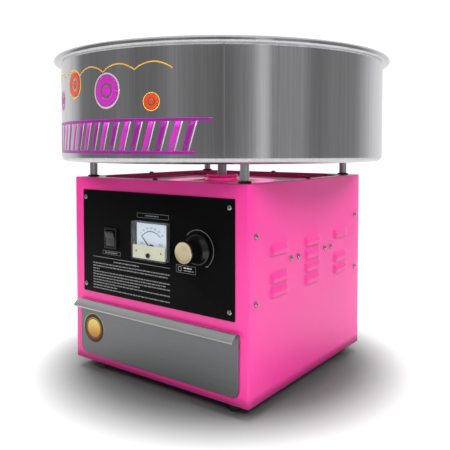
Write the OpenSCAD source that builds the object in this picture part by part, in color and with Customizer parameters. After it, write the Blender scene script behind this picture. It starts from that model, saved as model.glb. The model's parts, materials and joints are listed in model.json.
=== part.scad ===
// Cotton candy machine: a square sheet-metal cabinet with a storage drawer, a motor that
// turns a heated spinner head, and a wide steel bowl that stands on four posts.
// Millimetres. The origin is on the table, under the spinner's axis. +Z is up and the
// front faces -Y.

/* [Cabinet] */
// Width of the cabinet, left to right
cabinet_w = 328; // [324:1:334]
// Depth of the cabinet, front to back
cabinet_d = 330; // [328:1:334]
// Height of the cabinet's lower edge above the table
cabinet_base = 16.5; // [14:0.5:20]
// Height of the cabinet's top face above the table
cabinet_top = 299.3; // [298:0.1:301]
// Thickness of the folded sheet
sheet_t = 1.2; // [1:0.1:1.4]
// Outer radius of the vertical bends
bend_r = 2.5; // [2:0.5:4]
// Half the width of the recess in the top
recess_half = 150; // [148:1:151]
// Length that the recess loses at each clipped corner
recess_clip = 38; // [34:1:42]
// Depth of the recess
recess_depth = 8; // [6:0.5:9]

/* [Louvres] */
// Length of a louvre along the side
louvre_w = 47; // [40:1:50]
// Height of a louvre
louvre_h = 15; // [12:1:16]
// How far a louvre stands out of the side
louvre_out = 3.6; // [3:0.2:5]
// Distance between rows of louvres
louvre_pitch = 18.5; // [17.5:0.5:20]
// Distance between columns of louvres
louvre_column = 92; // [80:1:95]

/* [Bowl] */
// Outer radius of the bowl's wall
bowl_r = 250; // [246:1:252]
// Outer radius of the rolled rim
rim_r = 260; // [258:1:264]
// Height of the bowl's underside
bowl_z = 324.7; // [322:0.1:328]
// Height of the top of the rim
bowl_top = 477.5; // [460:0.5:490]
// Thickness of the bowl's sheet
bowl_t = 1.2; // [1:0.1:1.5]
// Outer radius between the floor and the wall
bowl_corner_r = 8; // [6:0.5:12]
// Diameter of the rolled bead on the rim
bead_d = 9; // [7:0.5:10]
// Diameter of the hole that the spinner head stands in
bowl_hole_d = 170; // [160:1:180]
// Diameter of a bowl post
post_d = 12; // [10:1:14]
// Distance of the posts from the axis along X and along Y
post_at = 144; // [143:0.5:146]

/* [Control panel] */
// Width of the black control plate
plate_w = 287; // [280:1:290]
// Height of the plate's lower edge
plate_z = 124.5; // [123:0.5:127]
// Height of the plate
plate_h = 156; // [150:1:158]
// Thickness of the plate
plate_t = 1.5; // [1:0.1:2]
// Distance of the switch to the left of the axis
switch_x = -81; // [-84:1:-78]
// Height of the switch's centre and the knob's
control_z = 210.5; // [208:0.5:213]
// Centre of the voltmeter along X
meter_x = 2.5; // [0:0.5:5]
// Width of the voltmeter
meter_w = 65; // [63:0.5:66]
// Height of the voltmeter
meter_h = 53.5; // [52:0.5:55]
// Depth of the voltmeter in front of the plate
meter_out = 10.5; // [10:0.5:12]
// Distance of the knob to the right of the axis
knob_x = 84.4; // [82:0.2:86]
// Diameter of the knob's skirt
knob_skirt_d = 41; // [38:1:43]
// Diameter of the knob's grip
knob_grip_d = 30; // [28:1:32]
// Length of the knob
knob_l = 30; // [28:1:32]

/* [Drawer] */
// Width of the drawer's front
front_w = 300; // [298:1:304]
// Height of the front's lower edge
front_z = 27; // [25:0.5:28]
// Height of the front's top edge
front_top = 110.5; // [109:0.5:111]
// Radius of the front's lower corners
front_r = 12; // [10:1:14]
// How far the pull lip stands out
lip_out = 14; // [12:1:16]
// How far the pull lip drops
lip_drop = 6.5; // [5:0.5:8]
// Depth of the drawer's tray
tray_d = 262; // [240:2:270]

/* [Spinner] */
// Diameter of the spinner shaft
shaft_d = 15; // [15:0.5:15]
// Outer diameter of the spinner head
head_d = 148; // [146:1:152]
// Height of the head's underside
head_z = 352; // [350:1:354]
// Height of the head without its funnel lip
head_h = 43; // [42:1:46]
// Diameter of the sugar hole in the head's cap
sugar_d = 60; // [50:1:64]

/* [Hidden] */
$fn = 48;

// Colours
pink = [0.92, 0.33, 0.62];
black = [0.06, 0.06, 0.06];
steel = [0.72, 0.73, 0.74];
dark_steel = [0.45, 0.46, 0.47];
brass = [0.80, 0.65, 0.32];
copper = [0.75, 0.42, 0.25];
cream = [0.86, 0.83, 0.74];
white = [0.93, 0.94, 0.95];
gold = [0.85, 0.78, 0.55];
phenolic = [0.40, 0.24, 0.14];
clear = [0.85, 0.90, 0.92, 0.35];

// Cabinet faces
half_w = cabinet_w / 2;
face_y = -half_w;
back_y = face_y + cabinet_d;
middle_y = (face_y + back_y) / 2;
inner_w = cabinet_w - 2 * sheet_t;
tray_floor = cabinet_top - recess_depth;

// Back panel, set in by a millimetre, with the cord's gland and the fuse holder
panel_y = back_y - 1 - sheet_t;
back_flange = 24;
gland_x = 110;
fuse_x = 60;
inlet_z = 60;

// Corner angles, and the screws that hold the sides
angle_leg = 24;
angle_front_leg = 16;
angle_t = 1.5;
angle_cut = 1.6;
edge_screw_y = 148;
edge_screw_z = [147, 233];
crossbar_y = 50;
crossbar_w = 32;
crossbar_h = 20;
crossbar_top = 202.5;
screw_hole_d = 4.2;
side_screw_places = concat(
    [for (y = [-edge_screw_y, edge_screw_y], z = edge_screw_z) [y, z]],
    [for (y = [-crossbar_y, crossbar_y], step = [-10, 10])
        [y + step, crossbar_top - crossbar_h / 2]]
);

// Louvres: the outer columns leave out the second row
louvre_low = 148;
louvre_rows = 4;
louvre_skipped_row = 2;

// Top tray and collar
tray_screw_at = (recess_half + half_w) / 2;
collar_d = 52;
collar_h = 10;
collar_hole_d = 34;
washer_t = 2.5;

// Feet
foot_x = 128;
foot_y = 143;
foot_d = 16;

// Control plate
plate_face = face_y - plate_t;
plate_screw_x = plate_w / 2 - 7;
plate_screw_inset = 11.3;
meter_z = 214.25;
needle_z = 203;
needle_l = 25;
needle_rest = -45;
meter_glass = 1.6;
meter_face = plate_face - meter_out;

// Drawer
front_gap = 0.5;
front_t = 1.5;
front_back = face_y - front_gap;
opening_half = 146;
opening_low = 31;
opening_top = 104;
tray_half = 138;
tray_low = 36;
tray_top = 98;
runner_gap = 0.4;
shelf_z = 112;

// Motor stack
plate_low = 210.5;
motor_plate_t = 3;
motor_low = plate_low + motor_plate_t;
bell_h = 12.5;
stator_h = 36;
stator_d = 96;
rotor_d = 53.4;
stator_bore = 54.2;
bearing_d = 35;
bearing_h = 11;
bearing_bore = shaft_d + 0.08;
stator_low = motor_low + bell_h;
upper_bell_low = stator_low + stator_h;
upper_bell_h = 18;
shaft_low = 128;
ring_d = 36;
ring_h = 8;
ring_z = [140, 156];
brush_w = 6;
brush_gap = 0.3;

// Spinner head
head_r = head_d / 2;
head_wall = 3;
head_floor = head_z + head_wall;
head_top = head_z + head_h;
band_r = head_r - head_wall - 0.2;
band_slots = 36;
head_screw_r = head_r - 8.5;

// ---- Helpers ----

// Rectangle with true round corners, centred
module rounded_rect(w, d, r) {
    square([w - 2 * r, d], center = true);
    square([w, d - 2 * r], center = true);
    for (x = [-1, 1], y = [-1, 1])
        translate([x * (w / 2 - r), y * (d / 2 - r)])
            circle(r);
}

// Square with its four corners clipped at 45 degrees
module clipped_square(half, clip) {
    polygon([for (k = [0:3], p = [[half, clip - half], [half, half - clip]])
        [p.x * cos(90 * k) - p.y * sin(90 * k), p.x * sin(90 * k) + p.y * cos(90 * k)]]);
}

// Tube along Z
module tube(od, id, h) {
    difference() {
        cylinder(h = h, d = od);
        translate([0, 0, -1]) cylinder(h = h + 2, d = id);
    }
}

// Block given by its lowest and its highest corner
module block(low, high) {
    translate(low) cube(high - low);
}

// Puts a shape on the front: its x runs right, its y runs up and its z runs outwards
module on_front(x, z, y) {
    translate([x, y, z]) rotate([90, 0, 0]) children();
}

// Repeats a shape at the four corners of a rectangle
module at_corners(x, y, z) {
    for (sx = [-1, 1], sy = [-1, 1])
        translate([sx * x, sy * y, z]) children();
}

// Repeats a shape at each side screw, with its z pointing out of the cabinet
module at_side_screws() {
    for (side = [-1, 1], place = side_screw_places)
        translate([side * half_w, place[0], place[1]]) rotate([0, side * 90, 0]) children();
}

// Repeats a shape on both sides, at the lower edge of each louvre
module at_louvres() {
    for (side = [0, 1], column = [-1:1], row = [0:louvre_rows - 1])
        if (column == 0 || row != louvre_skipped_row)
            mirror([side, 0, 0])
                translate([half_w, column * louvre_column, louvre_low + row * louvre_pitch])
                    children();
}

// Pan-head screw with a cross recess: its head stands on z = 0 and its shank points down
module pan_screw(head_w, head_h, shank_w, shank_l) {
    difference() {
        union() {
            cylinder(h = head_h * 0.55, d = head_w);
            translate([0, 0, head_h * 0.55])
                cylinder(h = head_h * 0.45, d1 = head_w, d2 = head_w * 0.66);
        }
        for (turn = [0, 90])
            rotate(turn)
                translate([0, 0, head_h])
                    cube([head_w * 0.5, head_w * 0.13, head_h], center = true);
    }
    translate([0, 0, -shank_l]) cylinder(h = shank_l, d = shank_w);
}

// Solid block with the cabinet's outline, smaller by an inset
module cabinet_block(inset, low, high) {
    translate([0, middle_y, low])
        linear_extrude(high - low)
            rounded_rect(cabinet_w - 2 * inset, cabinet_d - 2 * inset, bend_r - inset);
}

// Section of a louvre, extruded along the side: outwards is x and up is y
module louvre_section(out, high, low, length) {
    translate([0, length / 2, 0])
        rotate([90, 0, 0])
            linear_extrude(length)
                polygon([[-2, low], [out, low], [out, 4], [out - 1, 6], [0, high], [-2, high]]);
}

module side_screw_holes() {
    at_side_screws() translate([0, 0, -6]) cylinder(h = 10, d = screw_hole_d);
}

// Holes through the front sheet and the plate for the switch, the meter and the knob
module control_holes() {
    block([switch_x - 11, plate_face - 1, control_z - 13.6],
          [switch_x + 11, face_y + 5, control_z + 13.6]);
    on_front(meter_x, meter_z, face_y + 5) cylinder(h = 10, d = 46);
    on_front(knob_x, control_z, face_y + 5) cylinder(h = 10, d = 9.2);
}

module plate_screw_holes(d) {
    for (x = [-1, 1], z = [plate_z + plate_screw_inset, plate_z + plate_h - plate_screw_inset])
        on_front(x * plate_screw_x, z, face_y + 8) cylinder(h = 12, d = d);
}

// Repeats a shape at the four screws that hold the top tray
module at_tray_screws() {
    for (turn = [0:90:270])
        rotate(turn) translate([tray_screw_at, 0, cabinet_top]) children();
}

// ---- Cabinet ----

module cabinet_wrap() {
    color(pink)
    difference() {
        union() {
            cabinet_block(0, cabinet_base, cabinet_top);
            at_louvres() louvre_section(louvre_out, louvre_h, 0, louvre_w);
        }
        cabinet_block(sheet_t, cabinet_base - 1, cabinet_top - sheet_t);
        block([-inner_w / 2, back_y - 10, cabinet_base - 1],
              [inner_w / 2, back_y + 1, cabinet_top - sheet_t]);
        translate([0, 0, cabinet_top - 2 * sheet_t])
            linear_extrude(3 * sheet_t) clipped_square(recess_half, recess_clip);
        at_louvres()
            louvre_section(louvre_out - sheet_t, louvre_h - 3, -1, louvre_w - 2 * sheet_t);
        block([-opening_half, face_y - 1, opening_low],
              [opening_half, face_y + sheet_t + 1, opening_top]);
        control_holes();
        plate_screw_holes(3.2);
        side_screw_holes();
        at_tray_screws() translate([0, 0, -4]) cylinder(h = 6, d = screw_hole_d);
        at_corners(post_at, post_at, cabinet_top - 4) cylinder(h = 6, d = 6.2);
    }
}

module back_panel() {
    color(pink)
    difference() {
        union() {
            block([-inner_w / 2, panel_y, cabinet_base + sheet_t],
                  [inner_w / 2, panel_y + sheet_t, cabinet_top - 2 * sheet_t]);
            for (side = [-1, 1])
                translate([side * (inner_w - sheet_t) / 2, panel_y - back_flange / 2,
                           (cabinet_base + cabinet_top) / 2])
                    cube([sheet_t, back_flange, 250], center = true);
        }
        side_screw_holes();
        translate([gland_x, back_y, inlet_z])
            rotate([90, 0, 0]) cylinder(h = 10, d = 16, center = true);
        translate([fuse_x, back_y, inlet_z])
            rotate([90, 0, 0]) cylinder(h = 10, d = 13, center = true);
    }
}

module base_plate() {
    color(pink)
    difference() {
        union() {
            block([-inner_w / 2, face_y + sheet_t, cabinet_base],
                  [inner_w / 2, panel_y + sheet_t, cabinet_base + sheet_t]);
            for (side = [-1, 1])
                translate([side * (inner_w - sheet_t) / 2, middle_y, cabinet_base + 6])
                    cube([sheet_t, 270, 12], center = true);
        }
        at_corners(foot_x, foot_y, cabinet_base - 1) cylinder(h = 4, d = 4.4);
    }
}

module front_corner_angles() {
    low = cabinet_base + 14;
    high = cabinet_top - 12;
    color(dark_steel)
    difference() {
        for (side = [0, 1])
            mirror([side, 0, 0])
                translate([inner_w / 2, face_y + sheet_t, low])
                    linear_extrude(high - low) angle_section();
        side_screw_holes();
    }
}

// Section of a corner angle, cut across its outer corner to clear the bend of the sheet
module angle_section() {
    polygon([[-angle_front_leg, 0], [-angle_cut, 0], [0, angle_cut], [0, angle_leg],
             [-angle_t, angle_leg], [-angle_t, angle_t], [-angle_front_leg, angle_t]]);
}

// Closes off the drawer's space below from the motor and the wiring above
module electrics_shelf() {
    front = face_y + sheet_t + angle_leg + 1;
    rear = panel_y - back_flange - 0.5;
    narrow = inner_w / 2 - angle_t - 0.2;
    color(dark_steel) {
        block([-narrow, face_y + sheet_t + angle_t + 0.2, shelf_z],
              [narrow, panel_y - 0.2, shelf_z + sheet_t]);
        for (side = [0, 1])
            mirror([side, 0, 0]) {
                block([narrow, front, shelf_z], [inner_w / 2, rear, shelf_z + sheet_t]);
                block([inner_w / 2 - sheet_t, front, shelf_z - 8],
                      [inner_w / 2, rear, shelf_z]);
            }
    }
}

module rubber_feet() {
    color(black)
    at_corners(foot_x, foot_y, 0)
        difference() {
            cylinder(h = cabinet_base, d1 = foot_d - 2, d2 = foot_d);
            translate([0, 0, -1]) cylinder(h = 8, d = 8.4);
            cylinder(h = 40, d = 4.4, center = true);
        }
}

module foot_screws() {
    color(steel)
    at_corners(foot_x, foot_y, 7)
        rotate([180, 0, 0]) pan_screw(7.6, 2.6, 4, 14);
}

module side_screws() {
    color(steel)
    at_side_screws() pan_screw(7.4, 2.6, 4, 5.5);
}

// Channels that carry the drawer's tray
module drawer_runners() {
    outer = inner_w / 2 - angle_t;
    inner = tray_half - 8;
    low = tray_low - runner_gap - angle_t;
    high = tray_top + runner_gap + angle_t;
    color(steel)
    for (side = [0, 1])
        mirror([side, 0, 0])
            difference() {
                block([inner, -158, low], [outer, 150, high]);
                block([inner - 1, -159, low + angle_t], [outer - angle_t, 151, high - angle_t]);
            }
}

module top_tray() {
    ledge = (inner_w - 6) / 2;
    color(pink)
    difference() {
        union() {
            translate([0, middle_y, cabinet_top - 2 * sheet_t])
                block([-ledge, -ledge, 0], [ledge, ledge, sheet_t]);
            translate([0, 0, tray_floor - sheet_t])
                linear_extrude(recess_depth)
                    clipped_square(recess_half + sheet_t, recess_clip);
        }
        translate([0, 0, tray_floor])
            linear_extrude(recess_depth + 1) clipped_square(recess_half, recess_clip);
        translate([0, 0, tray_floor - 5]) cylinder(h = 10, d = collar_hole_d);
        at_tray_screws() translate([0, 0, -6]) cylinder(h = 8, d = screw_hole_d);
        at_corners(post_at, post_at, cabinet_top - 6) cylinder(h = 8, d = 6.2);
    }
}

module tray_screws() {
    color(black)
    at_tray_screws() pan_screw(7.4, 2.4, 4, 6);
}

// Upstand with a rolled lip that keeps spilt sugar away from the shaft
module shaft_collar() {
    lip_r = 1.6;
    color(pink)
    translate([0, 0, tray_floor])
        rotate_extrude()
            difference() {
                union() {
                    translate([collar_hole_d / 2, 0])
                        square([(collar_d - collar_hole_d) / 2 - lip_r, collar_h]);
                    translate([collar_d / 2 - lip_r, collar_h - lip_r]) circle(lip_r, $fn = 24);
                    translate([collar_hole_d / 2, 0])
                        square([(collar_d - collar_hole_d) / 2, 1.5]);
                }
                translate([collar_hole_d / 2 + 2, 3])
                    square([4, collar_h]);
            }
}

// ---- Bowl ----

module bowl_posts() {
    color(steel)
    at_corners(post_at, post_at, 0) {
        difference() {
            translate([0, 0, cabinet_top + washer_t])
                cylinder(h = bowl_z - cabinet_top - washer_t, d = post_d);
            translate([0, 0, bowl_z - 12]) cylinder(h = 13, d = 5);
        }
        translate([0, 0, cabinet_top - 14]) cylinder(h = 14 + washer_t, d = 6);
    }
}

module post_washers() {
    color(black)
    at_corners(post_at, post_at, cabinet_top) tube(18, 6.2, washer_t);
}

// Half section of the bowl: floor, lip round the hole, round corner, wall and rolled bead
module bowl_section() {
    corner_x = bowl_r - bowl_corner_r;
    bead_x = rim_r - bead_d / 2;
    bead_y = bowl_top - bead_d / 2;
    translate([bowl_hole_d / 2, bowl_z])
        square([corner_x - bowl_hole_d / 2, bowl_t]);
    translate([bowl_hole_d / 2, bowl_z])
        square([bowl_t, 7]);
    translate([corner_x, bowl_z + bowl_corner_r])
        intersection() {
            difference() {
                circle(bowl_corner_r);
                circle(bowl_corner_r - bowl_t);
            }
            translate([0, -bowl_corner_r]) square(bowl_corner_r);
        }
    translate([bowl_r - bowl_t, bowl_z + bowl_corner_r])
        square([bowl_t, bead_y - bowl_z - bowl_corner_r]);
    for (x = [bowl_r - bowl_t + bead_d / 2, bead_x])
        translate([x, bead_y]) circle(d = bead_d);
    translate([bowl_r - bowl_t + bead_d / 2, bead_y - bead_d / 2])
        square([rim_r - bowl_r + bowl_t - bead_d, bead_d]);
}

module bowl() {
    color(steel)
    difference() {
        rotate_extrude($fn = 96) bowl_section();
        at_corners(post_at, post_at, bowl_z - 1) cylinder(h = 4, d = 5.4);
    }
}

module bowl_screws() {
    color(steel)
    at_corners(post_at, post_at, bowl_z + bowl_t) {
        tube(16, 4.9, 1.2);
        translate([0, 0, 1.2]) pan_screw(9.5, 3, 4.8, 9);
    }
}

// ---- Motor and its mounting ----

module motor_crossbars() {
    color(dark_steel)
    difference() {
        for (side = [-1, 1])
            translate([0, side * crossbar_y, crossbar_top - crossbar_h / 2])
                difference() {
                    cube([inner_w, crossbar_w, crossbar_h], center = true);
                    translate([0, 0, -angle_t])
                        cube([inner_w - 2 * angle_t, crossbar_w - 2 * angle_t, crossbar_h],
                             center = true);
                }
        side_screw_holes();
        at_corners(crossbar_y, crossbar_y, crossbar_top - 5) cylinder(h = 10, d = 6.2);
    }
}

module rubber_mounts() {
    color(black)
    at_corners(crossbar_y, crossbar_y, crossbar_top)
        tube(18, 6.2, plate_low - crossbar_top);
}

module motor_plate() {
    side = 134;
    color(steel)
    difference() {
        translate([0, 0, plate_low + motor_plate_t / 2])
            cube([side, side, motor_plate_t], center = true);
        translate([0, 0, plate_low - 1]) cylinder(h = 5, d = 30);
        at_corners(crossbar_y, crossbar_y, plate_low - 1) cylinder(h = 5, d = 6.2);
    }
}

module mount_bolts() {
    nut_h = 4;
    color(steel)
    at_corners(crossbar_y, crossbar_y, 0) {
        translate([0, 0, motor_low]) cylinder(h = nut_h, d = 11, $fn = 6);
        translate([0, 0, crossbar_top - angle_t - nut_h]) cylinder(h = nut_h, d = 11, $fn = 6);
        translate([0, 0, crossbar_top - 9]) cylinder(h = motor_low - crossbar_top + 9, d = 6);
    }
}

module motor_lower_bell() {
    color(steel)
    translate([0, 0, motor_low])
        difference() {
            cylinder(h = bell_h, d = stator_d);
            translate([0, 0, bell_h - bearing_h]) cylinder(h = bearing_h + 1, d = bearing_d);
            translate([0, 0, -1]) cylinder(h = bell_h, d = 20);
            translate([0, 0, 3]) tube(stator_d - 6, 42, bell_h);
        }
}

module motor_stator() {
    color(dark_steel)
    translate([0, 0, stator_low]) tube(stator_d, stator_bore, stator_h);
}

// Coil ends above and below the stator
module motor_windings() {
    color(copper)
    for (z = [stator_low - 7.5, upper_bell_low])
        translate([0, 0, z]) tube(82, 58, 7.5);
}

module motor_upper_bell() {
    color(steel)
    translate([0, 0, upper_bell_low])
        difference() {
            cylinder(h = upper_bell_h, d = stator_d);
            translate([0, 0, -1]) cylinder(h = bearing_h + 5, d = bearing_d);
            translate([0, 0, -1]) cylinder(h = upper_bell_h + 2, d = 20);
            translate([0, 0, -1]) tube(stator_d - 6, 42, 11);
        }
}

module motor_bearings() {
    color(steel)
    for (z = [stator_low - bearing_h, upper_bell_low + 4])
        translate([0, 0, z]) tube(bearing_d, bearing_bore, bearing_h);
}

// Block with two guides that aim the brushes at the slip rings
module brush_block() {
    color(phenolic)
    difference() {
        block([22, -14, 134], [56, 14, 172]);
        for (z = ring_z)
            block([21, -brush_w / 2 - 0.2, z + 0.8], [54, brush_w / 2 + 0.2, z + ring_h - 0.8]);
    }
}

module brush_bracket() {
    color(steel) {
        block([56, -14, 134], [58, 14, plate_low]);
        block([58, -14, plate_low - 2], [66, 14, plate_low]);
    }
}

module carbon_brushes() {
    color([0.16, 0.16, 0.17])
    for (z = ring_z)
        block([ring_d / 2 + brush_gap, -brush_w / 2, z + 1],
              [40, brush_w / 2, z + ring_h - 1]);
}

module brush_springs() {
    color(steel)
    for (z = ring_z)
        translate([40, 0, z + ring_h / 2]) rotate([0, 90, 0]) tube(5, 3.4, 14);
}

// ---- Control panel ----

module control_plate() {
    color(black)
    difference() {
        block([-plate_w / 2, plate_face, plate_z], [plate_w / 2, face_y, plate_z + plate_h]);
        control_holes();
        plate_screw_holes(3.2);
    }
}

module control_plate_screws() {
    color(steel)
    for (x = [-1, 1], z = [plate_z + plate_screw_inset, plate_z + plate_h - plate_screw_inset])
        on_front(x * plate_screw_x, z, plate_face) pan_screw(7, 2.4, 3, 5);
}

module switch_housing() {
    color(black)
    difference() {
        union() {
            block([switch_x - 13, plate_face - 3, control_z - 15.5],
                  [switch_x + 13, plate_face, control_z + 15.5]);
            block([switch_x - 10.8, plate_face - 1, control_z - 13.4],
                  [switch_x + 10.8, face_y + 20, control_z + 13.4]);
        }
        block([switch_x - 9.6, plate_face - 4, control_z - 12.6],
              [switch_x + 9.6, face_y + 12, control_z + 12.6]);
        translate([switch_x, plate_face, control_z])
            rotate([0, 90, 0]) cylinder(h = 26, d = 3.1, center = true);
    }
}

// Rocker with a V-shaped face, drawn at its off position: its lower half is pressed in
module switch_rocker() {
    half = 11.4;
    tilt = 9;
    color([0.1, 0.1, 0.11])
    translate([switch_x, plate_face, control_z])
        rotate([tilt, 0, 0]) {
            rotate([90, 0, 90])
                linear_extrude(18.4, center = true)
                    polygon([[-4.6, half], [-3.2, 0], [-4.6, -half], [2, -half],
                             [7, -4], [7, 4], [2, half]]);
            rotate([0, 90, 0]) cylinder(h = 20.8, d = 3, center = true);
        }
}

module meter_case() {
    bridge_y = 12;
    color(black) {
        difference() {
            on_front(meter_x, meter_z, plate_face)
                linear_extrude(2) square([meter_w - 3.6, meter_h - 3.6], center = true);
            on_front(meter_x, meter_z, plate_face + 1) cylinder(h = 4, d = 42);
        }
        on_front(meter_x, meter_z, plate_face + 34)
            difference() {
                cylinder(h = 34, d = 45);
                translate([0, 0, 2]) cylinder(h = 40, d = 42);
            }
        difference() {
            translate([meter_x, plate_face + bridge_y, needle_z])
                cube([35, 2, 6], center = true);
            on_front(meter_x, needle_z, plate_face + bridge_y + 2) cylinder(h = 4, d = 1.7);
        }
    }
}

module meter_dial() {
    color(white)
    difference() {
        on_front(meter_x, meter_z + 1, plate_face - 2)
            linear_extrude(0.8) square([56, 46], center = true);
        on_front(meter_x, needle_z, plate_face) cylinder(h = 5, d = 5);
    }
}

module meter_window() {
    color(clear)
    difference() {
        on_front(meter_x, meter_z, plate_face)
            linear_extrude(meter_out) rounded_rect(meter_w, meter_h, 2);
        on_front(meter_x, meter_z, plate_face + 1)
            linear_extrude(meter_out + 1 - meter_glass)
                square([meter_w - 2 * meter_glass, meter_h - 2 * meter_glass], center = true);
        on_front(meter_x, meter_z - 19.5, meter_face + 3) cylinder(h = 4, d = 6.2);
    }
}

// Cream cover over the movement, behind the clear front
module meter_cover() {
    color(cream)
    difference() {
        on_front(meter_x, meter_z - 15.6, meter_face + meter_glass + 2.2)
            linear_extrude(2) square([meter_w - 3.6, 18.6], center = true);
        on_front(meter_x, meter_z - 19.5, meter_face + 6) cylinder(h = 8, d = 6.2);
    }
}

module meter_zero_screw() {
    color(black)
    on_front(meter_x, meter_z - 19.5, meter_face + 3.4)
        difference() {
            union() {
                cylinder(h = 3.4, d = 6);
                translate([0, 0, 3.4]) cylinder(h = 1, d1 = 6.6, d2 = 5);
            }
            translate([0, 0, 4.4]) cube([5, 0.9, 1.2], center = true);
        }
}

// Pointer at its rest, on the dial's zero at the left
module meter_needle() {
    color(black)
    on_front(meter_x, needle_z, plate_face) {
        translate([0, 0, -16]) cylinder(h = 20, d = 1.6);
        rotate([0, 0, -needle_rest])
            translate([0, 0, 4])
                linear_extrude(0.5) polygon([[-1.2, -5], [1.2, -5], [0.35, needle_l],
                                             [-0.35, needle_l]]);
    }
}

module dimmer_pot() {
    color(steel)
    on_front(knob_x, control_z, face_y + sheet_t)
        difference() {
            union() {
                translate([0, 0, -22]) cylinder(h = 22, d = 30);
                cylinder(h = sheet_t + plate_t + 4.5, d = 9);
                translate([0, 0, sheet_t + plate_t]) cylinder(h = 2.4, d = 13, $fn = 6);
            }
            translate([0, 0, -30]) cylinder(h = 60, d = 6.1);
            translate([0, 0, -20]) cylinder(h = 18, d = 26);
        }
}

// Power regulator with its cooling fins
module dimmer_module() {
    fins = 7;
    color(dark_steel) {
        block([70, -110, shelf_z + sheet_t], [130, -70, shelf_z + sheet_t + 6]);
        for (k = [0:fins - 1])
            translate([70 + k * 58 / (fins - 1), -110, shelf_z + sheet_t + 5])
                cube([2, 40, 22]);
    }
}

module terminal_block() {
    poles = 5;
    color(cream)
    difference() {
        block([-40, 118, shelf_z + sheet_t], [20, 138, shelf_z + sheet_t + 16]);
        for (k = [0:poles - 1], y = [123, 133])
            translate([-34 + k * 12, y, shelf_z + 10]) cylinder(h = 20, d = 5);
    }
}

module fuse_holder() {
    color(black)
    translate([fuse_x, panel_y + sheet_t, inlet_z])
        rotate([-90, 0, 0]) {
            translate([0, 0, -30]) cylinder(h = 30, d = 12.8);
            cylinder(h = 3, d = 17);
            translate([0, 0, 3])
                difference() {
                    cylinder(h = 8, d1 = 13, d2 = 12);
                    translate([0, 0, 8]) cube([9, 1.4, 3], center = true);
                }
        }
}

// Entry for the mains cord
module cord_gland() {
    color(black)
    translate([gland_x, panel_y + sheet_t, inlet_z])
        rotate([-90, 0, 0])
            difference() {
                union() {
                    translate([0, 0, -12]) cylinder(h = 14, d = 15.8);
                    cylinder(h = 4, d = 24, $fn = 6);
                    translate([0, 0, 4]) cylinder(h = 5, d = 19);
                    translate([0, 0, 9]) cylinder(h = 7, d1 = 19, d2 = 13);
                    translate([0, 0, -8]) cylinder(h = 5, d = 22, $fn = 6);
                }
                translate([0, 0, -20]) cylinder(h = 50, d = 8.4);
            }
}

// ---- Knob ----

module knob_shaft() {
    color(steel)
    on_front(knob_x, control_z, face_y + 18) cylinder(h = 18 + plate_t + knob_l - 6, d = 6);
}

module control_knob() {
    color(black)
    on_front(knob_x, control_z, plate_face - 0.5)
        difference() {
            union() {
                cylinder(h = 2.5, d = knob_skirt_d);
                translate([0, 0, 2.5])
                    cylinder(h = 5, d1 = knob_skirt_d - 2, d2 = knob_grip_d + 1);
                translate([0, 0, 7.5]) cylinder(h = knob_l - 8.7, d = knob_grip_d);
            }
            translate([0, 0, -1]) cylinder(h = knob_l - 5.5, d = 6);
            translate([0, 0, -1]) cylinder(h = 7, d = 20);
        }
}

module knob_cap() {
    color(gold)
    on_front(knob_x, control_z, plate_face - 0.5 - knob_l + 1.2)
        cylinder(h = 1.2, d = knob_grip_d - 2);
}

// ---- Drawer ----

// Section of the front's top edge, bent outwards and down into a pull lip
module lip_section() {
    polygon([[0, 0], [-4.5, 0], [-lip_out, -lip_drop], [-lip_out + 0.9, -lip_drop - 1.2],
             [-4.2, -front_t], [0, -front_t]]);
}

module drawer_front() {
    color(steel) {
        translate([0, front_back, 0])
            rotate([90, 0, 0])
                linear_extrude(front_t) {
                    translate([-front_w / 2, front_z + front_r])
                        square([front_w, front_top - front_z - front_r]);
                    translate([-front_w / 2 + front_r, front_z])
                        square([front_w - 2 * front_r, front_r]);
                    for (side = [-1, 1])
                        translate([side * (front_w / 2 - front_r), front_z + front_r])
                            circle(front_r);
                }
        translate([-front_w / 2, front_back - front_t, front_top])
            rotate([90, 0, 90])
                linear_extrude(front_w) lip_section();
    }
}

module drawer_tray() {
    color(steel)
    difference() {
        block([-tray_half, front_back, tray_low], [tray_half, front_back + tray_d, tray_top]);
        block([-tray_half + sheet_t, front_back + sheet_t, tray_low + sheet_t],
              [tray_half - sheet_t, front_back + tray_d - sheet_t, tray_top + 1]);
    }
}

// ---- Spinner ----

module spinner_shaft() {
    color(steel)
    translate([0, 0, shaft_low]) tube(shaft_d, 8, head_z - shaft_low);
}

module motor_rotor() {
    color(dark_steel)
    translate([0, 0, stator_low + 2]) tube(rotor_d, shaft_d, stator_h - 4);
}

module slip_ring_hub() {
    color(phenolic)
    translate([0, 0, 134]) tube(28, shaft_d, 38);
}

module slip_rings() {
    color(brass)
    for (z = ring_z)
        translate([0, 0, z]) tube(ring_d, 28, ring_h);
}

module head_hub() {
    color(steel)
    translate([0, 0, head_z - 16])
        difference() {
            union() {
                cylinder(h = 16, d = 34);
                translate([0, 0, 12]) cylinder(h = 4, d = 60);
            }
            translate([0, 0, -1]) cylinder(h = 20, d = shaft_d);
        }
}

module head_base() {
    color(steel)
    difference() {
        union() {
            translate([0, 0, head_z]) cylinder(h = head_wall, d = head_d);
            translate([0, 0, head_z]) tube(head_d, head_d - 2 * head_wall, 9);
            translate([0, 0, head_floor]) cylinder(h = 9, d1 = 26, d2 = 8);
        }
        head_screw_holes();
    }
}

module head_screw_holes() {
    for (turn = [45:90:315])
        rotate(turn) translate([head_screw_r, 0, head_z - 10]) cylinder(h = 80, d = 3.2);
}

// Electric heater that melts the sugar, on four legs
module heater_ring() {
    heater_d = 120;
    color([0.55, 0.50, 0.46]) {
        translate([0, 0, head_floor + 6]) tube(heater_d, heater_d - 4, 25);
        for (turn = [0:90:270])
            rotate(turn)
                translate([heater_d / 2 - 1, 0, head_floor]) cylinder(h = 6.5, d = 5);
    }
}

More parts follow.
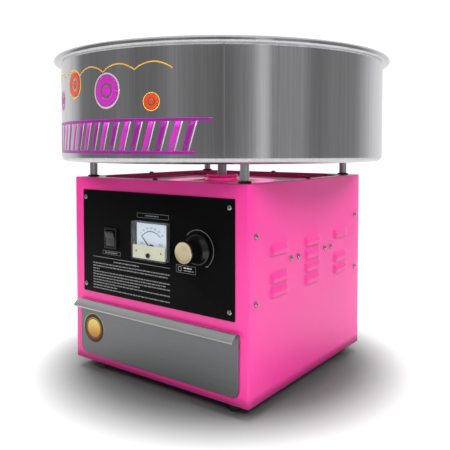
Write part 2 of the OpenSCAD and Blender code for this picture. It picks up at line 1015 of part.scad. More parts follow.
// Slotted band that the molten sugar is thrown through
module head_band() {
    color(steel)
    difference() {
        translate([0, 0, head_floor])
            tube(2 * band_r, 2 * band_r - 2.4, head_h - 2 * head_wall);
        for (k = [0:band_slots - 1])
            rotate(k * 360 / band_slots)
                translate([band_r, 0, head_z + head_h / 2]) cube([8, 3, 20], center = true);
    }
}

module head_cap() {
    lip_h = 8;
    color(steel)
    difference() {
        union() {
            translate([0, 0, head_top - head_wall]) cylinder(h = head_wall, d = head_d);
            translate([0, 0, head_top - 9]) tube(head_d, head_d - 2 * head_wall, 9);
            translate([0, 0, head_top]) cylinder(h = lip_h, d = sugar_d + 5);
        }
        translate([0, 0, head_top - 10]) cylinder(h = 30, d = sugar_d);
        head_screw_holes();
    }
}

module head_screws() {
    color(steel)
    for (turn = [45:90:315])
        rotate(turn)
            translate([head_screw_r, 0, head_top]) pan_screw(6.4, 2.2, 3, head_h + 3);
}

cabinet_wrap();
back_panel();
base_plate();
front_corner_angles();
electrics_shelf();
rubber_feet();
foot_screws();
side_screws();
drawer_runners();
top_tray();
tray_screws();
shaft_collar();
bowl_posts();
post_washers();
bowl();
bowl_screws();
motor_crossbars();
rubber_mounts();
motor_plate();
mount_bolts();
motor_lower_bell();
motor_stator();
motor_windings();
motor_upper_bell();
motor_bearings();
brush_block();
brush_bracket();
carbon_brushes();
brush_springs();
control_plate();
control_plate_screws();
switch_housing();
switch_rocker();
meter_case();
meter_dial();
meter_window();
meter_cover();
meter_zero_screw();
meter_needle();
dimmer_pot();
dimmer_module();
terminal_block();
fuse_holder();
cord_gland();
knob_shaft();
control_knob();
knob_cap();
drawer_front();
drawer_tray();
spinner_shaft();
motor_rotor();
slip_ring_hub();
slip_rings();
head_hub();
head_base();
heater_ring();
head_band();
head_cap();
head_screws();
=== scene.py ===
# %% [markdown]
# # A cotton candy machine, finished in Blender
#
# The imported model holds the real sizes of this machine: a pink sheet-metal cabinet, a black
# control plate, a drawer, and a wide steel bowl on four posts round a spinner head. Those
# solids are plain and sharp-edged. This lesson gives each visible piece the soft edges,
# pressings and prints of the real one, and then gives every surface its finish.
# All lengths are in metres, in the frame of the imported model.

# %% Load the frame
import json
import math
from collections import namedtuple

import bmesh
import bpy
import numpy as np
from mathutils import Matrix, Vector


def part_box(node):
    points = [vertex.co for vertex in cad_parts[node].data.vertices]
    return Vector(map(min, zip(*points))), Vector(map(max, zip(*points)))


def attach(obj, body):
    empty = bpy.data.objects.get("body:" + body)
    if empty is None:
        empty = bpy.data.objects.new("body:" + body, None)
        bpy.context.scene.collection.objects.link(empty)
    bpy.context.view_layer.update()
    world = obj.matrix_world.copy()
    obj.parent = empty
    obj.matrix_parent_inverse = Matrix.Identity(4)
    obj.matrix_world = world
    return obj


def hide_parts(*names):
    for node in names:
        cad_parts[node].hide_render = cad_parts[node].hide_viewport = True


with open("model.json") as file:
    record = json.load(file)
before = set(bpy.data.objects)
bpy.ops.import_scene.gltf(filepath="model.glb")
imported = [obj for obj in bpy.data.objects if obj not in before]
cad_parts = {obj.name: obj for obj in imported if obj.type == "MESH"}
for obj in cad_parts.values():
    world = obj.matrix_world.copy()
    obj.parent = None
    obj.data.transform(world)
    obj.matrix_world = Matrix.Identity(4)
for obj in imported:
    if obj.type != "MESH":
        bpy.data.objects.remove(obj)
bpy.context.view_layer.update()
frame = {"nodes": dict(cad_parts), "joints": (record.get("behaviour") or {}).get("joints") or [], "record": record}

# %% [markdown]
# ## The camera
#
# A product shot of a tall object is taken level, with the film shifted, so that upright
# edges stay upright. Here a part of the drop comes from the shift and the rest from a tilt of
# two degrees, because the shift also acts in every other view. The camera is made first.

# %% Camera
CAMERA_AT = Vector((0.5707, -0.7607, 0.3475))
CAMERA_HEADING = math.radians(36.6)
CAMERA_TILT = math.radians(2.26)

camera_data = bpy.data.cameras.new("camera")
camera_data.lens = 46.96
camera_data.sensor_width = 36.0
camera_data.shift_y = -0.125
camera = bpy.data.objects.new("camera", camera_data)
camera.location = CAMERA_AT
camera.rotation_euler = (math.pi / 2 - CAMERA_TILT, 0.0, CAMERA_HEADING)
bpy.context.scene.collection.objects.link(camera)
bpy.context.scene.camera = camera
print("camera stands", round(CAMERA_AT.xy.length, 3), "m from the spinner's axis")

# %% [markdown]
# ## Shapes as grids of points
#
# Sheet metal, turned parts and mouldings have one thing in common: each is a row of outlines.
# A lathe part is a row of circles, a plate with soft edges is a row of rounded rectangles that
# shrink towards the face. So one function, `skin`, is enough to cover any of them: it takes an
# array of rings, each with the same number of points, and joins each ring to the next.


# %% Skin a row of rings
Shell = namedtuple("Shell", "points faces finish")


def skin(rings, caps=True, closed=False, finish=0, keep=None):
    """Quads between each ring of points and the next, for rings of shape (rings, around, 3).
    caps closes the first and the last ring, closed joins the last ring to the first, and keep
    is an array (rings - 1, around) that is False where the sheet has a hole."""
    count, around = rings.shape[:2]
    row, column = np.mgrid[0:count if closed else count - 1, 0:around]
    following = (column + 1) % around
    above = (row + 1) % count
    corners = [row * around + column, row * around + following,
               above * around + following, above * around + column]
    quads = np.stack(corners, -1)
    quads = quads[keep] if keep is not None else quads.reshape(-1, 4)
    faces = quads.tolist()
    if caps and not closed:
        faces.append(list(range(around))[::-1])
        faces.append(list(range((count - 1) * around, count * around)))
    return Shell(rings.reshape(-1, 3), faces, finish)


def sheet(grid, finish=0, keep=None):
    """Quads over an open grid of points of shape (rows, columns, 3)."""
    rows, columns = grid.shape[:2]
    whole = np.ones((rows - 1, columns - 1), bool) if keep is None else keep
    edge = np.zeros((rows - 1, 1), bool)
    return skin(grid, caps=False, finish=finish, keep=np.hstack([whole, edge]))


def placed(shell, at, turn=None):
    """The same shell, turned by a 3 x 3 matrix if there is one, and then moved to a place."""
    points = shell.points if turn is None else shell.points @ np.array(turn).T
    return Shell(points + np.array(at), shell.faces, shell.finish)


# Turns that bring a shape's own +Z to the front, to the back or to a side of the cabinet
TO_FRONT = np.array([[1, 0, 0], [0, 0, -1], [0, 1, 0]])
TO_BACK = np.array([[-1, 0, 0], [0, 0, 1], [0, 1, 0]])
TO_RIGHT = np.array([[0, 0, 1], [1, 0, 0], [0, 1, 0]])
TO_LEFT = np.array([[0, 0, -1], [-1, 0, 0], [0, 1, 0]])
print("shape helpers are ready")

# %% [markdown]
# ## Profiles and outlines
#
# The rings come from a few plane curves. `arc` and `line_of` draw a profile, `turned` carries a
# profile round an axis, and `plate` stacks rounded rectangles. A Bevel modifier could round the
# edges too, but real edges are never sharp and rarely alike, so each profile ends in an arc of
# its own, which catches the light as a thin bright line.


# %% Plane curves
def arc(centre, radius, start, end, steps=7):
    """Points of an arc: centre + radius (cos a, sin a), a running from start to end degrees."""
    angle = np.radians(np.linspace(start, end, steps))
    return np.stack([centre[0] + radius * np.cos(angle), centre[1] + radius * np.sin(angle)], -1)


def line_of(*parts):
    """One line of plane points from single points and runs of points."""
    return np.concatenate([np.atleast_2d(np.array(part, float)) for part in parts])


def round_axis(radius, angle, height):
    """Points (r cos a, r sin a, h) about the Z axis, for values or arrays of r, a and h."""
    return np.stack(np.broadcast_arrays(radius * np.cos(angle), radius * np.sin(angle), height), -1)


def turned(profile, steps=64, closed=False):
    """Surface of revolution about Z: a profile point (r, z) becomes (r cos a, r sin a, z)."""
    angle = np.linspace(0, 2 * np.pi, steps, endpoint=False)
    return skin(round_axis(profile[:, :1], angle, profile[:, 1:]), closed=closed)


def rounded(width, height, radius, steps=7):
    """Closed outline of a centred rectangle with round corners: four quarter circles."""
    turn = np.radians(np.linspace(0, 90, steps) + 90 * np.arange(4)[:, None])
    side = np.array([[1, 1], [-1, 1], [-1, -1], [1, -1]])[:, None, :]
    middle = side * np.array([width / 2 - radius, height / 2 - radius])
    return (middle + radius * np.stack([np.cos(turn), np.sin(turn)], -1)).reshape(-1, 2)


def plate(width, height, radius, levels, finish=0, steps=7):
    """Flat piece on Z = 0: each level (inset, z) is the outline drawn in by inset at height z."""
    rings = [np.column_stack([rounded(width - 2 * inset, height - 2 * inset,
                                      max(radius - inset, 0.00005), steps),
                              np.full(4 * steps, z)]) for inset, z in levels]
    return skin(np.array(rings), finish=finish)


def soft_edge(thickness, edge):
    """Levels of a plate that stands on Z = 0 and has a quarter-round front edge."""
    return [(0.0, 0.0), *arc((edge, thickness - edge), edge, 180, 90, 5).tolist()]


print("an outline of", len(rounded(0.1, 0.1, 0.01)), "points, for example")

# %% [markdown]
# ## From shells to a piece
#
# A piece is one Blender object made of one or more shells. Its place is in its mesh, so the
# object itself stays at the origin. Closed shells get their normals recalculated to point
# outwards; sheets keep the order they were drawn in, and a Solidify modifier gives them the
# gauge of the metal. A piece takes the finish that is named like its slot, unless it is given
# others.


# %% Make a piece
def piece(name, shells, body, slot, replaces=(), finishes=None, gauge=0.0, crease=35):
    """One object from shells. gauge is the thickness of an open sheet, which grows inwards."""
    offsets = np.cumsum([0] + [len(shell.points) for shell in shells])
    points = np.concatenate([shell.points for shell in shells])
    faces = [[corner + start for corner in face]
             for shell, start in zip(shells, offsets) for face in shell.faces]
    mesh = bpy.data.meshes.new(name)
    mesh.from_pydata(points.tolist(), [], faces)
    for finish in finishes or [FINISHES[slot]]:
        mesh.materials.append(finish)
    mesh.polygons.foreach_set("material_index", np.repeat(
        [shell.finish for shell in shells], [len(shell.faces) for shell in shells]))
    if not gauge:
        turn_outwards(mesh)
    mesh.shade_smooth()
    mesh.set_sharp_from_angle(angle=math.radians(crease))
    made = bpy.data.objects.new(name, mesh)
    bpy.context.scene.collection.objects.link(made)
    if gauge:
        metal = made.modifiers.new("gauge", "SOLIDIFY")
        metal.thickness = gauge
        metal.offset = -1.0
    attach(made, body)
    if replaces:
        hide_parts(*replaces)
    print(f"{name}: {len(mesh.vertices)} points, {len(mesh.polygons)} faces")
    return made


def turn_outwards(mesh):
    """Makes every closed shell of a mesh face outwards."""
    shape = bmesh.new()
    shape.from_mesh(mesh)
    bmesh.ops.recalc_face_normals(shape, faces=shape.faces)
    shape.to_mesh(mesh)
    shape.free()


# %% [markdown]
# ## Values that vary over a surface
#
# A finish is never one flat colour: paint has a fine ripple, brushed steel has streaks, and
# everything is a little smudged. Such patterns are worked out by shader nodes. To keep the
# arithmetic readable, `Field` wraps the output of a node so that `0.3 + 0.1 * grain` adds the
# Math nodes by itself. Every other node comes from the one method `node`.


# %% Fields and finishes
class Field:
    """A value that varies over a surface: the output socket of a node, with arithmetic."""

    def __init__(self, finish, socket):
        self.finish = finish
        self.socket = socket

    def maths(self, operation, *values):
        """Math node with this value as its first input."""
        inputs = dict(enumerate((self, *values)))
        return self.finish.node("ShaderNodeMath", {"operation": operation}, inputs)

    def __add__(self, other):
        return self.maths("ADD", other)

    def __mul__(self, other):
        return self.maths("MULTIPLY", other)

    def __sub__(self, other):
        return self.maths("SUBTRACT", other)

    def __rsub__(self, other):
        return self * -1.0 + other

    def __pow__(self, other):
        return self.maths("POWER", other)

    __radd__ = __add__
    __rmul__ = __mul__

    def above(self, edge, width):
        """0 below the edge and 1 above it, with a soft step of the given width."""
        return self.finish.node("ShaderNodeMapRange", {"interpolation_type": "SMOOTHSTEP"},
                                {0: self, 1: edge - width / 2, 2: edge + width / 2})


class Finish:
    """Adds nodes to a tree; the methods return Fields."""

    def __init__(self, tree):
        self.tree = tree
        self.tree.nodes.clear()
        self.place = self.node("ShaderNodeTexCoord", output="Object")

    def node(self, kind, settings=None, inputs=None, output=0):
        """Adds a node, gives it its settings, and links the inputs that are Fields."""
        made = self.tree.nodes.new(kind)
        for name, value in (settings or {}).items():
            if name == "stops":
                self.set_stops(made.color_ramp, value)
            else:
                setattr(made, name, value)
        for name, value in (inputs or {}).items():
            if isinstance(value, Field):
                self.tree.links.new(value.socket, made.inputs[name])
            else:
                made.inputs[name].default_value = value
        return Field(self, made.outputs[output]) if len(made.outputs) else made

    @staticmethod
    def set_stops(ramp, stops):
        """Gives a colour ramp its stops, each a (position, colour)."""
        while len(ramp.elements) < len(stops):
            ramp.elements.new(1.0)
        for element, (position, colour) in zip(ramp.elements, stops):
            element.position = position
            element.color = colour

    def moved(self, stretch=(1, 1, 1), shift=(0, 0, 0)):
        """Object coordinates, squeezed and shifted."""
        return self.node("ShaderNodeMapping", {},
                         {"Vector": self.place, "Scale": stretch, "Location": shift})

    def noise(self, scale, detail=2.0, stretch=(1, 1, 1), rough=0.5):
        """Cloudy pattern between about 0.2 and 0.8, finer with a larger scale."""
        return self.node("ShaderNodeTexNoise", {},
                         {"Vector": self.moved(stretch), "Scale": scale, "Detail": detail,
                          "Roughness": rough})

    def distance(self, centre, stretch=(1, 1, 1)):
        """Distance from a point, along the axes that stretch keeps."""
        shift = tuple(-c * s for c, s in zip(centre, stretch))
        return self.node("ShaderNodeVectorMath", {"operation": "LENGTH"},
                         {0: self.moved(stretch, shift)}, "Value")

    def mix(self, factor, first, second):
        """Colour that goes from first to second as the factor goes from 0 to 1."""
        return self.node("ShaderNodeMix", {"data_type": "RGBA"},
                         {0: factor, 6: first, 7: second}, 2)

    def ramp(self, factor, stops):
        """Colour read off a row of stops at the factor."""
        return self.node("ShaderNodeValToRGB", {"stops": stops}, {0: factor})

    def shader(self, colour, roughness, metallic=0.0, height=None, depth=0.0001, **constants):
        """Principled shader. height is a Field that Bump turns into relief of that depth."""
        inputs = {"Base Color": colour, "Roughness": roughness, "Metallic": metallic}
        if height is not None:
            inputs["Normal"] = self.node("ShaderNodeBump", {},
                                         {"Height": height, "Strength": 1.0, "Distance": depth})
        inputs.update({name.replace("_", " "): value for name, value in constants.items()})
        return self.node("ShaderNodeBsdfPrincipled", {}, inputs)

    def output(self, shader):
        """Makes a shader the surface of the material."""
        self.node("ShaderNodeOutputMaterial", {}, {"Surface": shader})


def srgb(red, green, blue):
    """Linear colour from screen values of 0 to 255."""
    channels = [((c / 255 + 0.055) / 1.055) ** 2.4 if c > 10 else c / 255 / 12.92
                for c in (red, green, blue)]
    return (*channels, 1.0)


def darker(colour, share):
    """The same colour with its brightness multiplied by a share."""
    return (*(channel * share for channel in colour[:3]), 1.0)


def material(name):
    """An empty material and the Finish that fills it."""
    made = bpy.data.materials.new(name)
    made.use_nodes = True
    return made, Finish(made.node_tree)


print("field arithmetic is ready")

# %% [markdown]
# ## Paint, plastic and rubber
#
# The cabinet is powder coated: a strong pink with a soft gloss and an orange-peel ripple about
# two millimetres across. Black plastic is duller, with a fine sparkle from its mould. One
# function makes them all, because they differ only in colour, gloss, ripple and dust.


# %% Coloured finishes
DUST = srgb(214, 205, 205)


def coated(name, colour, gloss, ripple, ripple_scale=450.0, dust=0.03, **constants):
    """Opaque coating: cloudy shade variation, handling smudges and a ripple in its surface."""
    made, f = material(name)
    cloud = f.noise(7.0, 2.0)
    smudge = f.noise(21.0, 2.0).above(0.55, 0.5)
    fine = f.noise(ripple_scale, 1.0)
    shade = f.mix(cloud, darker(colour, 0.95), darker(colour, 1.03))
    dusty = f.mix(smudge * dust, shade, DUST)
    rough = gloss + 0.03 * cloud + 0.04 * smudge
    f.output(f.shader(dusty, rough, height=fine, depth=ripple, **constants))
    return made


PINK = srgb(228, 50, 146)
pink_paint = coated("pink_paint", PINK, 0.30, 0.000008, dust=0.015, Coat_Weight=0.15,
                    Coat_Roughness=0.10)
black_panel = coated("black_panel", srgb(4, 4, 5), 0.42, 0.000005, 900.0, dust=0.002,
                     Specular_IOR_Level=0.06)
black_plastic = coated("black_plastic", srgb(10, 10, 11), 0.38, 0.00002, 1400.0, dust=0.005,
                       Specular_IOR_Level=0.35)
knob_plastic = coated("knob_plastic", srgb(7, 7, 8), 0.20, 0.00001, 1200.0, dust=0.005)
rubber = coated("rubber", srgb(20, 20, 20), 0.62, 0.00008, 700.0, dust=0.10)
cream_plastic = coated("cream_plastic", srgb(222, 214, 186), 0.30, 0.00002, 800.0)
dial_white = coated("dial_white", srgb(226, 232, 240), 0.45, 0.00001, 900.0)
needle_black = coated("needle_black", srgb(14, 14, 15), 0.35, 0.00001, 900.0)
phenolic = coated("phenolic", srgb(92, 52, 30), 0.42, 0.00004, 600.0)
carbon = coated("carbon", srgb(38, 38, 40), 0.55, 0.00005, 900.0)
print(len(bpy.data.materials), "coated finishes")

# %% [markdown]
# ## Prints
#
# Screen print and labels are thin, even films of ink. They still fade and pick up wear, so
# their colour is broken up slightly and the film has a faint texture of its own.


# %% Inks
def ink(name, colour, gloss=0.4):
    """Printed film with fine wear and a slightly uneven colour."""
    made, f = material(name)
    worn = f.noise(260.0, 3.0).above(0.66, 0.2)
    patch = f.noise(40.0, 2.0)
    tint = f.mix(patch, darker(colour, 0.9), colour)
    f.output(f.shader(f.mix(0.25 * worn, tint, darker(colour, 0.6)), gloss + 0.1 * worn,
                      height=patch, depth=0.00001))
    return made


grey_ink = ink("grey_ink", srgb(128, 128, 130))
white_ink = ink("white_ink", srgb(222, 222, 224))
black_ink = ink("black_ink", srgb(40, 46, 60))
purple_ink = ink("purple_ink", srgb(132, 18, 128), 0.3)
magenta_ink = ink("magenta_ink", srgb(186, 38, 170), 0.3)
lilac_ink = ink("lilac_ink", srgb(206, 158, 200), 0.3)
orange_ink = ink("orange_ink", srgb(206, 66, 20), 0.3)
yellow_ink = ink("yellow_ink", srgb(236, 176, 58), 0.3)
print("inks are mixed")

# %% [markdown]
# ## Metals
#
# Brushing and turning leave fine grooves that run one way. They are far too fine to cut as
# geometry, so the grain is a noise that is squeezed along one axis. It varies the roughness,
# the colour and, very slightly, the relief. The wall of the bowl has upright streaks, the
# drawer's run from side to side, and the posts have rings from the lathe.


# %% Metal finishes
def brushed(name, light, dark, gloss, along, grain=900.0, relief=0.000004, streak=0.12,
            **constants):
    """Bare metal with grooves; along squeezes the grain so that it runs in one direction."""
    made, f = material(name)
    groove = f.noise(grain, 3.0, along)
    band = f.noise(grain / 9.0, 2.0, along)
    cloud = f.noise(14.0, 3.0)
    tone = f.mix(0.6 * groove + 0.4 * band, dark, light)
    rough = gloss + streak * (groove - 0.5) + 0.06 * cloud
    f.output(f.shader(tone, rough, 1.0, height=groove, depth=relief, **constants))
    return made


ALL_WAYS = (1, 1, 1)
bowl_steel = brushed("bowl_steel", srgb(216, 216, 218), srgb(168, 168, 171), 0.13, (1, 1, 0.015),
                     420.0, 0.000002, 0.05)
drawer_steel = brushed("drawer_steel", srgb(132, 133, 134), srgb(114, 115, 116), 0.36,
                       (0.03, 1, 1), 1100.0)
# The lip's steel is a lighter copy of the drawer's steel: a painted sheen for the light that the upturned lip
# catches.
lip_steel = brushed("lip_steel", srgb(214, 216, 214), srgb(190, 192, 190), 0.42,
                    (0.03, 1, 1), 1100.0)
zinc_steel = brushed("zinc_steel", srgb(190, 192, 194), srgb(160, 163, 166), 0.36, ALL_WAYS, 160.0)
chrome_screw = brushed("chrome_screw", srgb(190, 186, 180), srgb(152, 148, 142), 0.16,
                       ALL_WAYS, 500.0)
black_screw = brushed("black_screw", srgb(52, 50, 54), srgb(36, 35, 38), 0.34, ALL_WAYS, 500.0)
post_steel = brushed("post_steel", srgb(196, 198, 200), srgb(168, 170, 172), 0.26, (1, 1, 40), 300.0)
motor_iron = brushed("motor_iron", srgb(110, 112, 116), srgb(78, 80, 84), 0.5, (0.05, 0.05, 1),
                     1500.0, 0.00003)
motor_alloy = brushed("motor_alloy", srgb(188, 190, 192), srgb(158, 160, 162), 0.46, ALL_WAYS,
                      500.0, 0.00004)
copper = brushed("copper", srgb(198, 110, 70), srgb(150, 76, 46), 0.34, (1, 1, 0.2), 1200.0, 0.00004)
brass = brushed("brass", srgb(214, 180, 104), srgb(190, 154, 80), 0.22, (1, 1, 20), 300.0)
heater_metal = brushed("heater_metal", srgb(150, 128, 112), srgb(104, 92, 88), 0.42, (1, 1, 6),
                       300.0, 0.00003)
head_alloy = brushed("head_alloy", srgb(206, 207, 209), srgb(184, 186, 188), 0.26, (1, 1, 12), 300.0)
print(len(bpy.data.materials), "finishes so far")

# %% [markdown]
# ## The knob's spun cap and the meter's window
#
# The gold cap is turned on a lathe: its grooves are circles, and they throw the light into a
# fan of bright wedges. The grooves are the sine of the distance from the knob's axis.
# The window is clear acrylic. A glass shader would darken the dial behind it, so it is a mix of
# a see-through shader and a glossy one, and the glossy share grows towards grazing angles.


# %% Spun gold and clear acrylic
knob_low, knob_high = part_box("knob_cap")
knob_middle = (knob_low + knob_high) / 2


def spun_gold():
    """Gold metal with circular grooves about the knob's axis, which runs along Y."""
    made, f = material("gold_cap")
    radius = f.distance(knob_middle, (1, 0, 1))
    groove = (radius * 9000.0).maths("SINE")
    ring = f.node("ShaderNodeTexNoise", {"noise_dimensions": "1D"},
                  {"W": radius * 900.0, "Detail": 2.0})
    tone = f.mix(ring, srgb(206, 190, 144), srgb(232, 220, 184))
    f.output(f.shader(tone, 0.24 + 0.08 * ring, 1.0, height=groove, depth=0.00003))
    return made


def clear_acrylic():
    """See-through film with a mirror reflection that grows towards grazing angles."""
    made, f = material("clear_plastic")
    haze = f.noise(60.0, 3.0)
    facing = f.node("ShaderNodeLayerWeight", {}, {"Blend": 0.5}, "Facing")
    through = f.node("ShaderNodeBsdfTransparent", {}, {"Color": (0.93, 0.95, 0.96, 1.0)})
    gloss = f.node("ShaderNodeBsdfPrincipled", {},
                   {"Base Color": srgb(232, 236, 240), "Roughness": 0.04 + 0.08 * haze})
    share = 0.6 * facing ** 4.0 + 0.03 * haze + 0.015
    f.output(f.node("ShaderNodeMixShader", {}, {0: share, 1: through, 2: gloss}))
    return made


gold_cap = spun_gold()
clear_plastic = clear_acrylic()
print("gold cap centre", [round(c, 4) for c in knob_middle])

# %% [markdown]
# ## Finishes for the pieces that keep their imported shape
#
# Many pieces sit inside the cabinet. Their plain shape is right, so they stay as they are and
# only take the finish that the record names for them.

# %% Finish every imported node
FINISHES = {
    "pink_paint": pink_paint, "black_panel": black_panel, "bowl_steel": bowl_steel,
    "drawer_steel": drawer_steel, "zinc_steel": zinc_steel, "chrome_screw": chrome_screw,
    "black_screw": black_screw, "post_steel": post_steel, "rubber": rubber,
    "black_plastic": black_plastic, "knob_plastic": knob_plastic, "gold_cap": gold_cap,
    "clear_plastic": clear_plastic, "cream_plastic": cream_plastic, "dial_white": dial_white,
    "needle_black": needle_black, "motor_iron": motor_iron, "motor_alloy": motor_alloy,
    "copper": copper, "brass": brass, "phenolic": phenolic, "carbon": carbon,
    "heater_metal": heater_metal, "head_alloy": head_alloy,
}
for part in frame["record"]["subparts"]:
    packed = frame["nodes"][part["node"]]
    packed.data.materials.clear()
    packed.data.materials.append(FINISHES[part["material_slot"]])
print("finished", len(frame["nodes"]), "packed nodes")

# %% [markdown]
# ## The bowl
#
# The bowl catches the spun sugar. It is one sheet of steel: a flat floor with an upturned lip
# round its hole, a round corner, an upright wall and a rim that is rolled outwards over a wire.
# A Solidify modifier could thicken a single line, but here the section is a closed line, so
# that the lip and the bead get their own shapes. A weld runs up the wall where the sheet joins.

# %% Bowl
bowl_low, bowl_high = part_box("bowl")
RIM_R = bowl_high.x
WALL_R = RIM_R - 0.010
BOWL_T = 0.0012
CORNER_R = 0.008
BEAD_R = 0.0045
HOLE_R = 0.085
FRONT_AZIMUTH = math.atan2(CAMERA_AT.y, CAMERA_AT.x)


def bowl_section():
    """Closed section (r, z): lip, floor, corner and wall inside, then the bead and back down."""
    floor = bowl_low.z
    bead_z = bowl_high.z - BEAD_R
    corner = (WALL_R - CORNER_R, floor + CORNER_R)
    return line_of(
        arc((HOLE_R + BOWL_T / 2, floor + 0.0064), BOWL_T / 2, 180, 0, 5),
        arc((HOLE_R + 0.0032, floor + 0.0032), 0.002, 180, 270, 4),
        arc(corner, CORNER_R - BOWL_T, 270, 360),
        (WALL_R - BOWL_T, bead_z - 0.03),
        arc((WALL_R - BOWL_T + BEAD_R, bead_z), BEAD_R, 180, 90),
        arc((RIM_R - BEAD_R, bead_z), BEAD_R, 90, -90, 13),
        arc((WALL_R + 0.0006, bead_z - BEAD_R - 0.0006), 0.0006, 90, 180, 3),
        (WALL_R, bead_z - 0.03),
        (WALL_R, corner[1] + 0.02),
        arc(corner, CORNER_R, 360, 270),
        arc((HOLE_R + 0.0032, floor + 0.0032), 0.0032, 270, 180, 4))


def weld(azimuth, low, high, width=0.0011, rise=0.00025):
    """Narrow bead up the wall: a half round, `rise` high, across the given width."""
    across = np.linspace(-1, 1, 7)
    angle = azimuth + across * width / WALL_R
    radius = WALL_R - 0.0002 + (rise + 0.0002) * np.sqrt(1 - across ** 2)
    return skin(round_axis(radius, angle, np.linspace(low, high, 12)[:, None]))


piece("bowl_shell",
      [turned(bowl_section(), 288, closed=True),
       weld(FRONT_AZIMUTH + 0.008, bowl_low.z + CORNER_R, bowl_high.z - 0.0095)],
      "cabinet", "bowl_steel", ["bowl"], crease=50)

# %% [markdown]
# ## The bowl's decoration
#
# A machine like this carries a coloured transfer on its bowl. A plain one is made here: a
# ribbon of slanted stripes, a wavy line and some discs. It could be painted by the bowl's
# material, but a thin film of its own has crisp edges and its own gloss. Each mark is drawn
# flat, as (distance along the wall, height), and wrapped a tenth of a millimetre off the wall.


# %% Transfer on the bowl
FILM = 0.00012


def wrapped(flat):
    """Wraps (along, up) onto the bowl's wall: along / radius is the angle from its front."""
    return round_axis(WALL_R + FILM, FRONT_AZIMUTH + flat[..., 0] / WALL_R, flat[..., 1])


def disc(along, up, inner, outer, finish):
    """Ring of ink: (along + r cos a, up + r sin a), with r from inner to outer."""
    angle = np.linspace(0, 2 * np.pi, 49)
    radius = np.linspace(inner, outer, 8)[:, None]
    flat = np.stack([along + radius * np.cos(angle), up + radius * np.sin(angle)], -1)
    return sheet(wrapped(flat), finish)


def stripe(along, low, high, width, slant, finish):
    """Slanted bar: its lower edge starts at along, and its top leans by slant."""
    up = np.linspace(0, 1, 5)[:, None]
    across = np.linspace(0, 1, 3 + int(width / 0.004))
    flat = np.stack([along + slant * up + width * across, low + (high - low) * up + 0 * across], -1)
    return sheet(wrapped(flat), finish)


def wave(start, end, up, swing, humps, thickness, finish):
    """Wavy line: its height is up + swing |sin(pi humps s)| for s from 0 to 1."""
    s = np.linspace(0, 1, 30 * humps)
    middle = up + swing * np.abs(np.sin(np.pi * humps * s)) ** 0.8
    flat = np.stack([np.stack([start + (end - start) * s, middle + side * thickness / 2], -1)
                     for side in (-1, 1)])
    return sheet(wrapped(flat), finish)


def transfer():
    """Ribbon of stripes between two edges, discs in two colours and a wave above them."""
    left, right = -0.335, -0.020
    low, high = 0.341, 0.377
    marks = [stripe(left, low - 0.004, low, right - left - 0.012, 0.0015, 0),
             stripe(left + 0.008, high, high + 0.004, right - left, 0.0015, 0)]
    pitch = 0.0175
    for k in range(int((right - left) / pitch) - 1):
        at = left + 0.006 + k * pitch
        marks.append(stripe(at, low, high, 0.0062, 0.010, k % 2))
        marks.append(stripe(at + 0.0078, low, high, 0.0016, 0.010, 2))
    for along, up, size, tones in [(-0.157, 0.417, 0.0230, (1, 2, 0)),
                                   (-0.232, 0.430, 0.0200, (3, 4, 3)),
                                   (-0.291, 0.412, 0.0155, (1, 2, 0)),
                                   (-0.088, 0.401, 0.0115, (3, 4, 3))]:
        marks.append(disc(along, up, 0.0004, size * 0.30, tones[0]))
        marks.append(disc(along, up, size * 0.45, size * 0.82, tones[0]))
        marks.append(disc(along, up, size * 0.90, size, tones[1]))
    marks.append(wave(-0.318, -0.060, 0.4405, 0.0090, 5, 0.0017, 4))
    return marks


transfer_inks = [purple_ink, magenta_ink, lilac_ink, orange_ink, yellow_ink]
piece("bowl_transfer", transfer(), "cabinet", "bowl_steel", finishes=transfer_inks,
      gauge=0.00008)

# %% [markdown]
# ## The cabinet
#
# Front and sides are one folded sheet, and its top edge turns in to carry the tray. The sizes
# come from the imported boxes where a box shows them. The rest are the sizes of this cabinet's
# pressings: the bends, the recess in its top, the louvres and the drawer's opening.

# %% Cabinet dimensions
tray_low, tray_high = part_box("top_tray")
back_low, back_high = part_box("back_panel")
plate_low, plate_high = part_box("control_plate")
_, foot_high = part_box("rubber_feet")
HALF_W = 0.164
FACE_Y = plate_high.y
BACK_Y = back_high.y + 0.001
BASE_Z = foot_high.z
TOP_Z = tray_high.z + 0.0012
SHEET_T = 0.0012
BEND_R = 0.0025
TOP_BEND = 0.0016
RECESS_HALF = 0.150
RECESS_CLIP = 0.038
SIDE_COLUMN = 0.092
LOUVRE_COLUMNS = (-SIDE_COLUMN, 0.0, SIDE_COLUMN)
LOUVRE_LOW = 0.148
LOUVRE_PITCH = 0.0185
LOUVRE_ROWS = 4
LOUVRE_W = 0.047
LOUVRE_H = 0.015
LOUVRE_OUT = 0.0036
SLIT_H = 0.0003
SLIT_END = 0.0035
OPENING_HALF = 0.146
OPENING_LOW = 0.031
OPENING_HIGH = 0.104
MM = 0.001
louvres = [(column, LOUVRE_LOW + row * LOUVRE_PITCH) for column in LOUVRE_COLUMNS
           for row in range(LOUVRE_ROWS) if column == 0 or row != 2]
print(len(louvres), "louvres on each side, cabinet from", round(BASE_Z, 4), "to", round(TOP_Z, 4))

# %% [markdown]
# ### The folded sheet
#
# The sheet is a row of closed outlines: they climb the wall, go round the bend, and then shrink
# to the octagon of the recess. The louvres are pressed out of the sides to let the motor's heat
# out. They could be added as boxes, but a pressed louvre flows out of its sheet. So each is a
# ramp, flush at its upper edge and full at its lower edge, times a round fall-off at its ends,
# and a slit is cut below its lower edge. Rows and columns of points stand close together only
# where a louvre or an opening needs them.


# %% Cabinet sheet
def smooth(value):
    """Soft step 3v^2 - 2v^3, with v held between 0 and 1."""
    held = np.clip(value, 0, 1)
    return held * held * (3 - 2 * held)


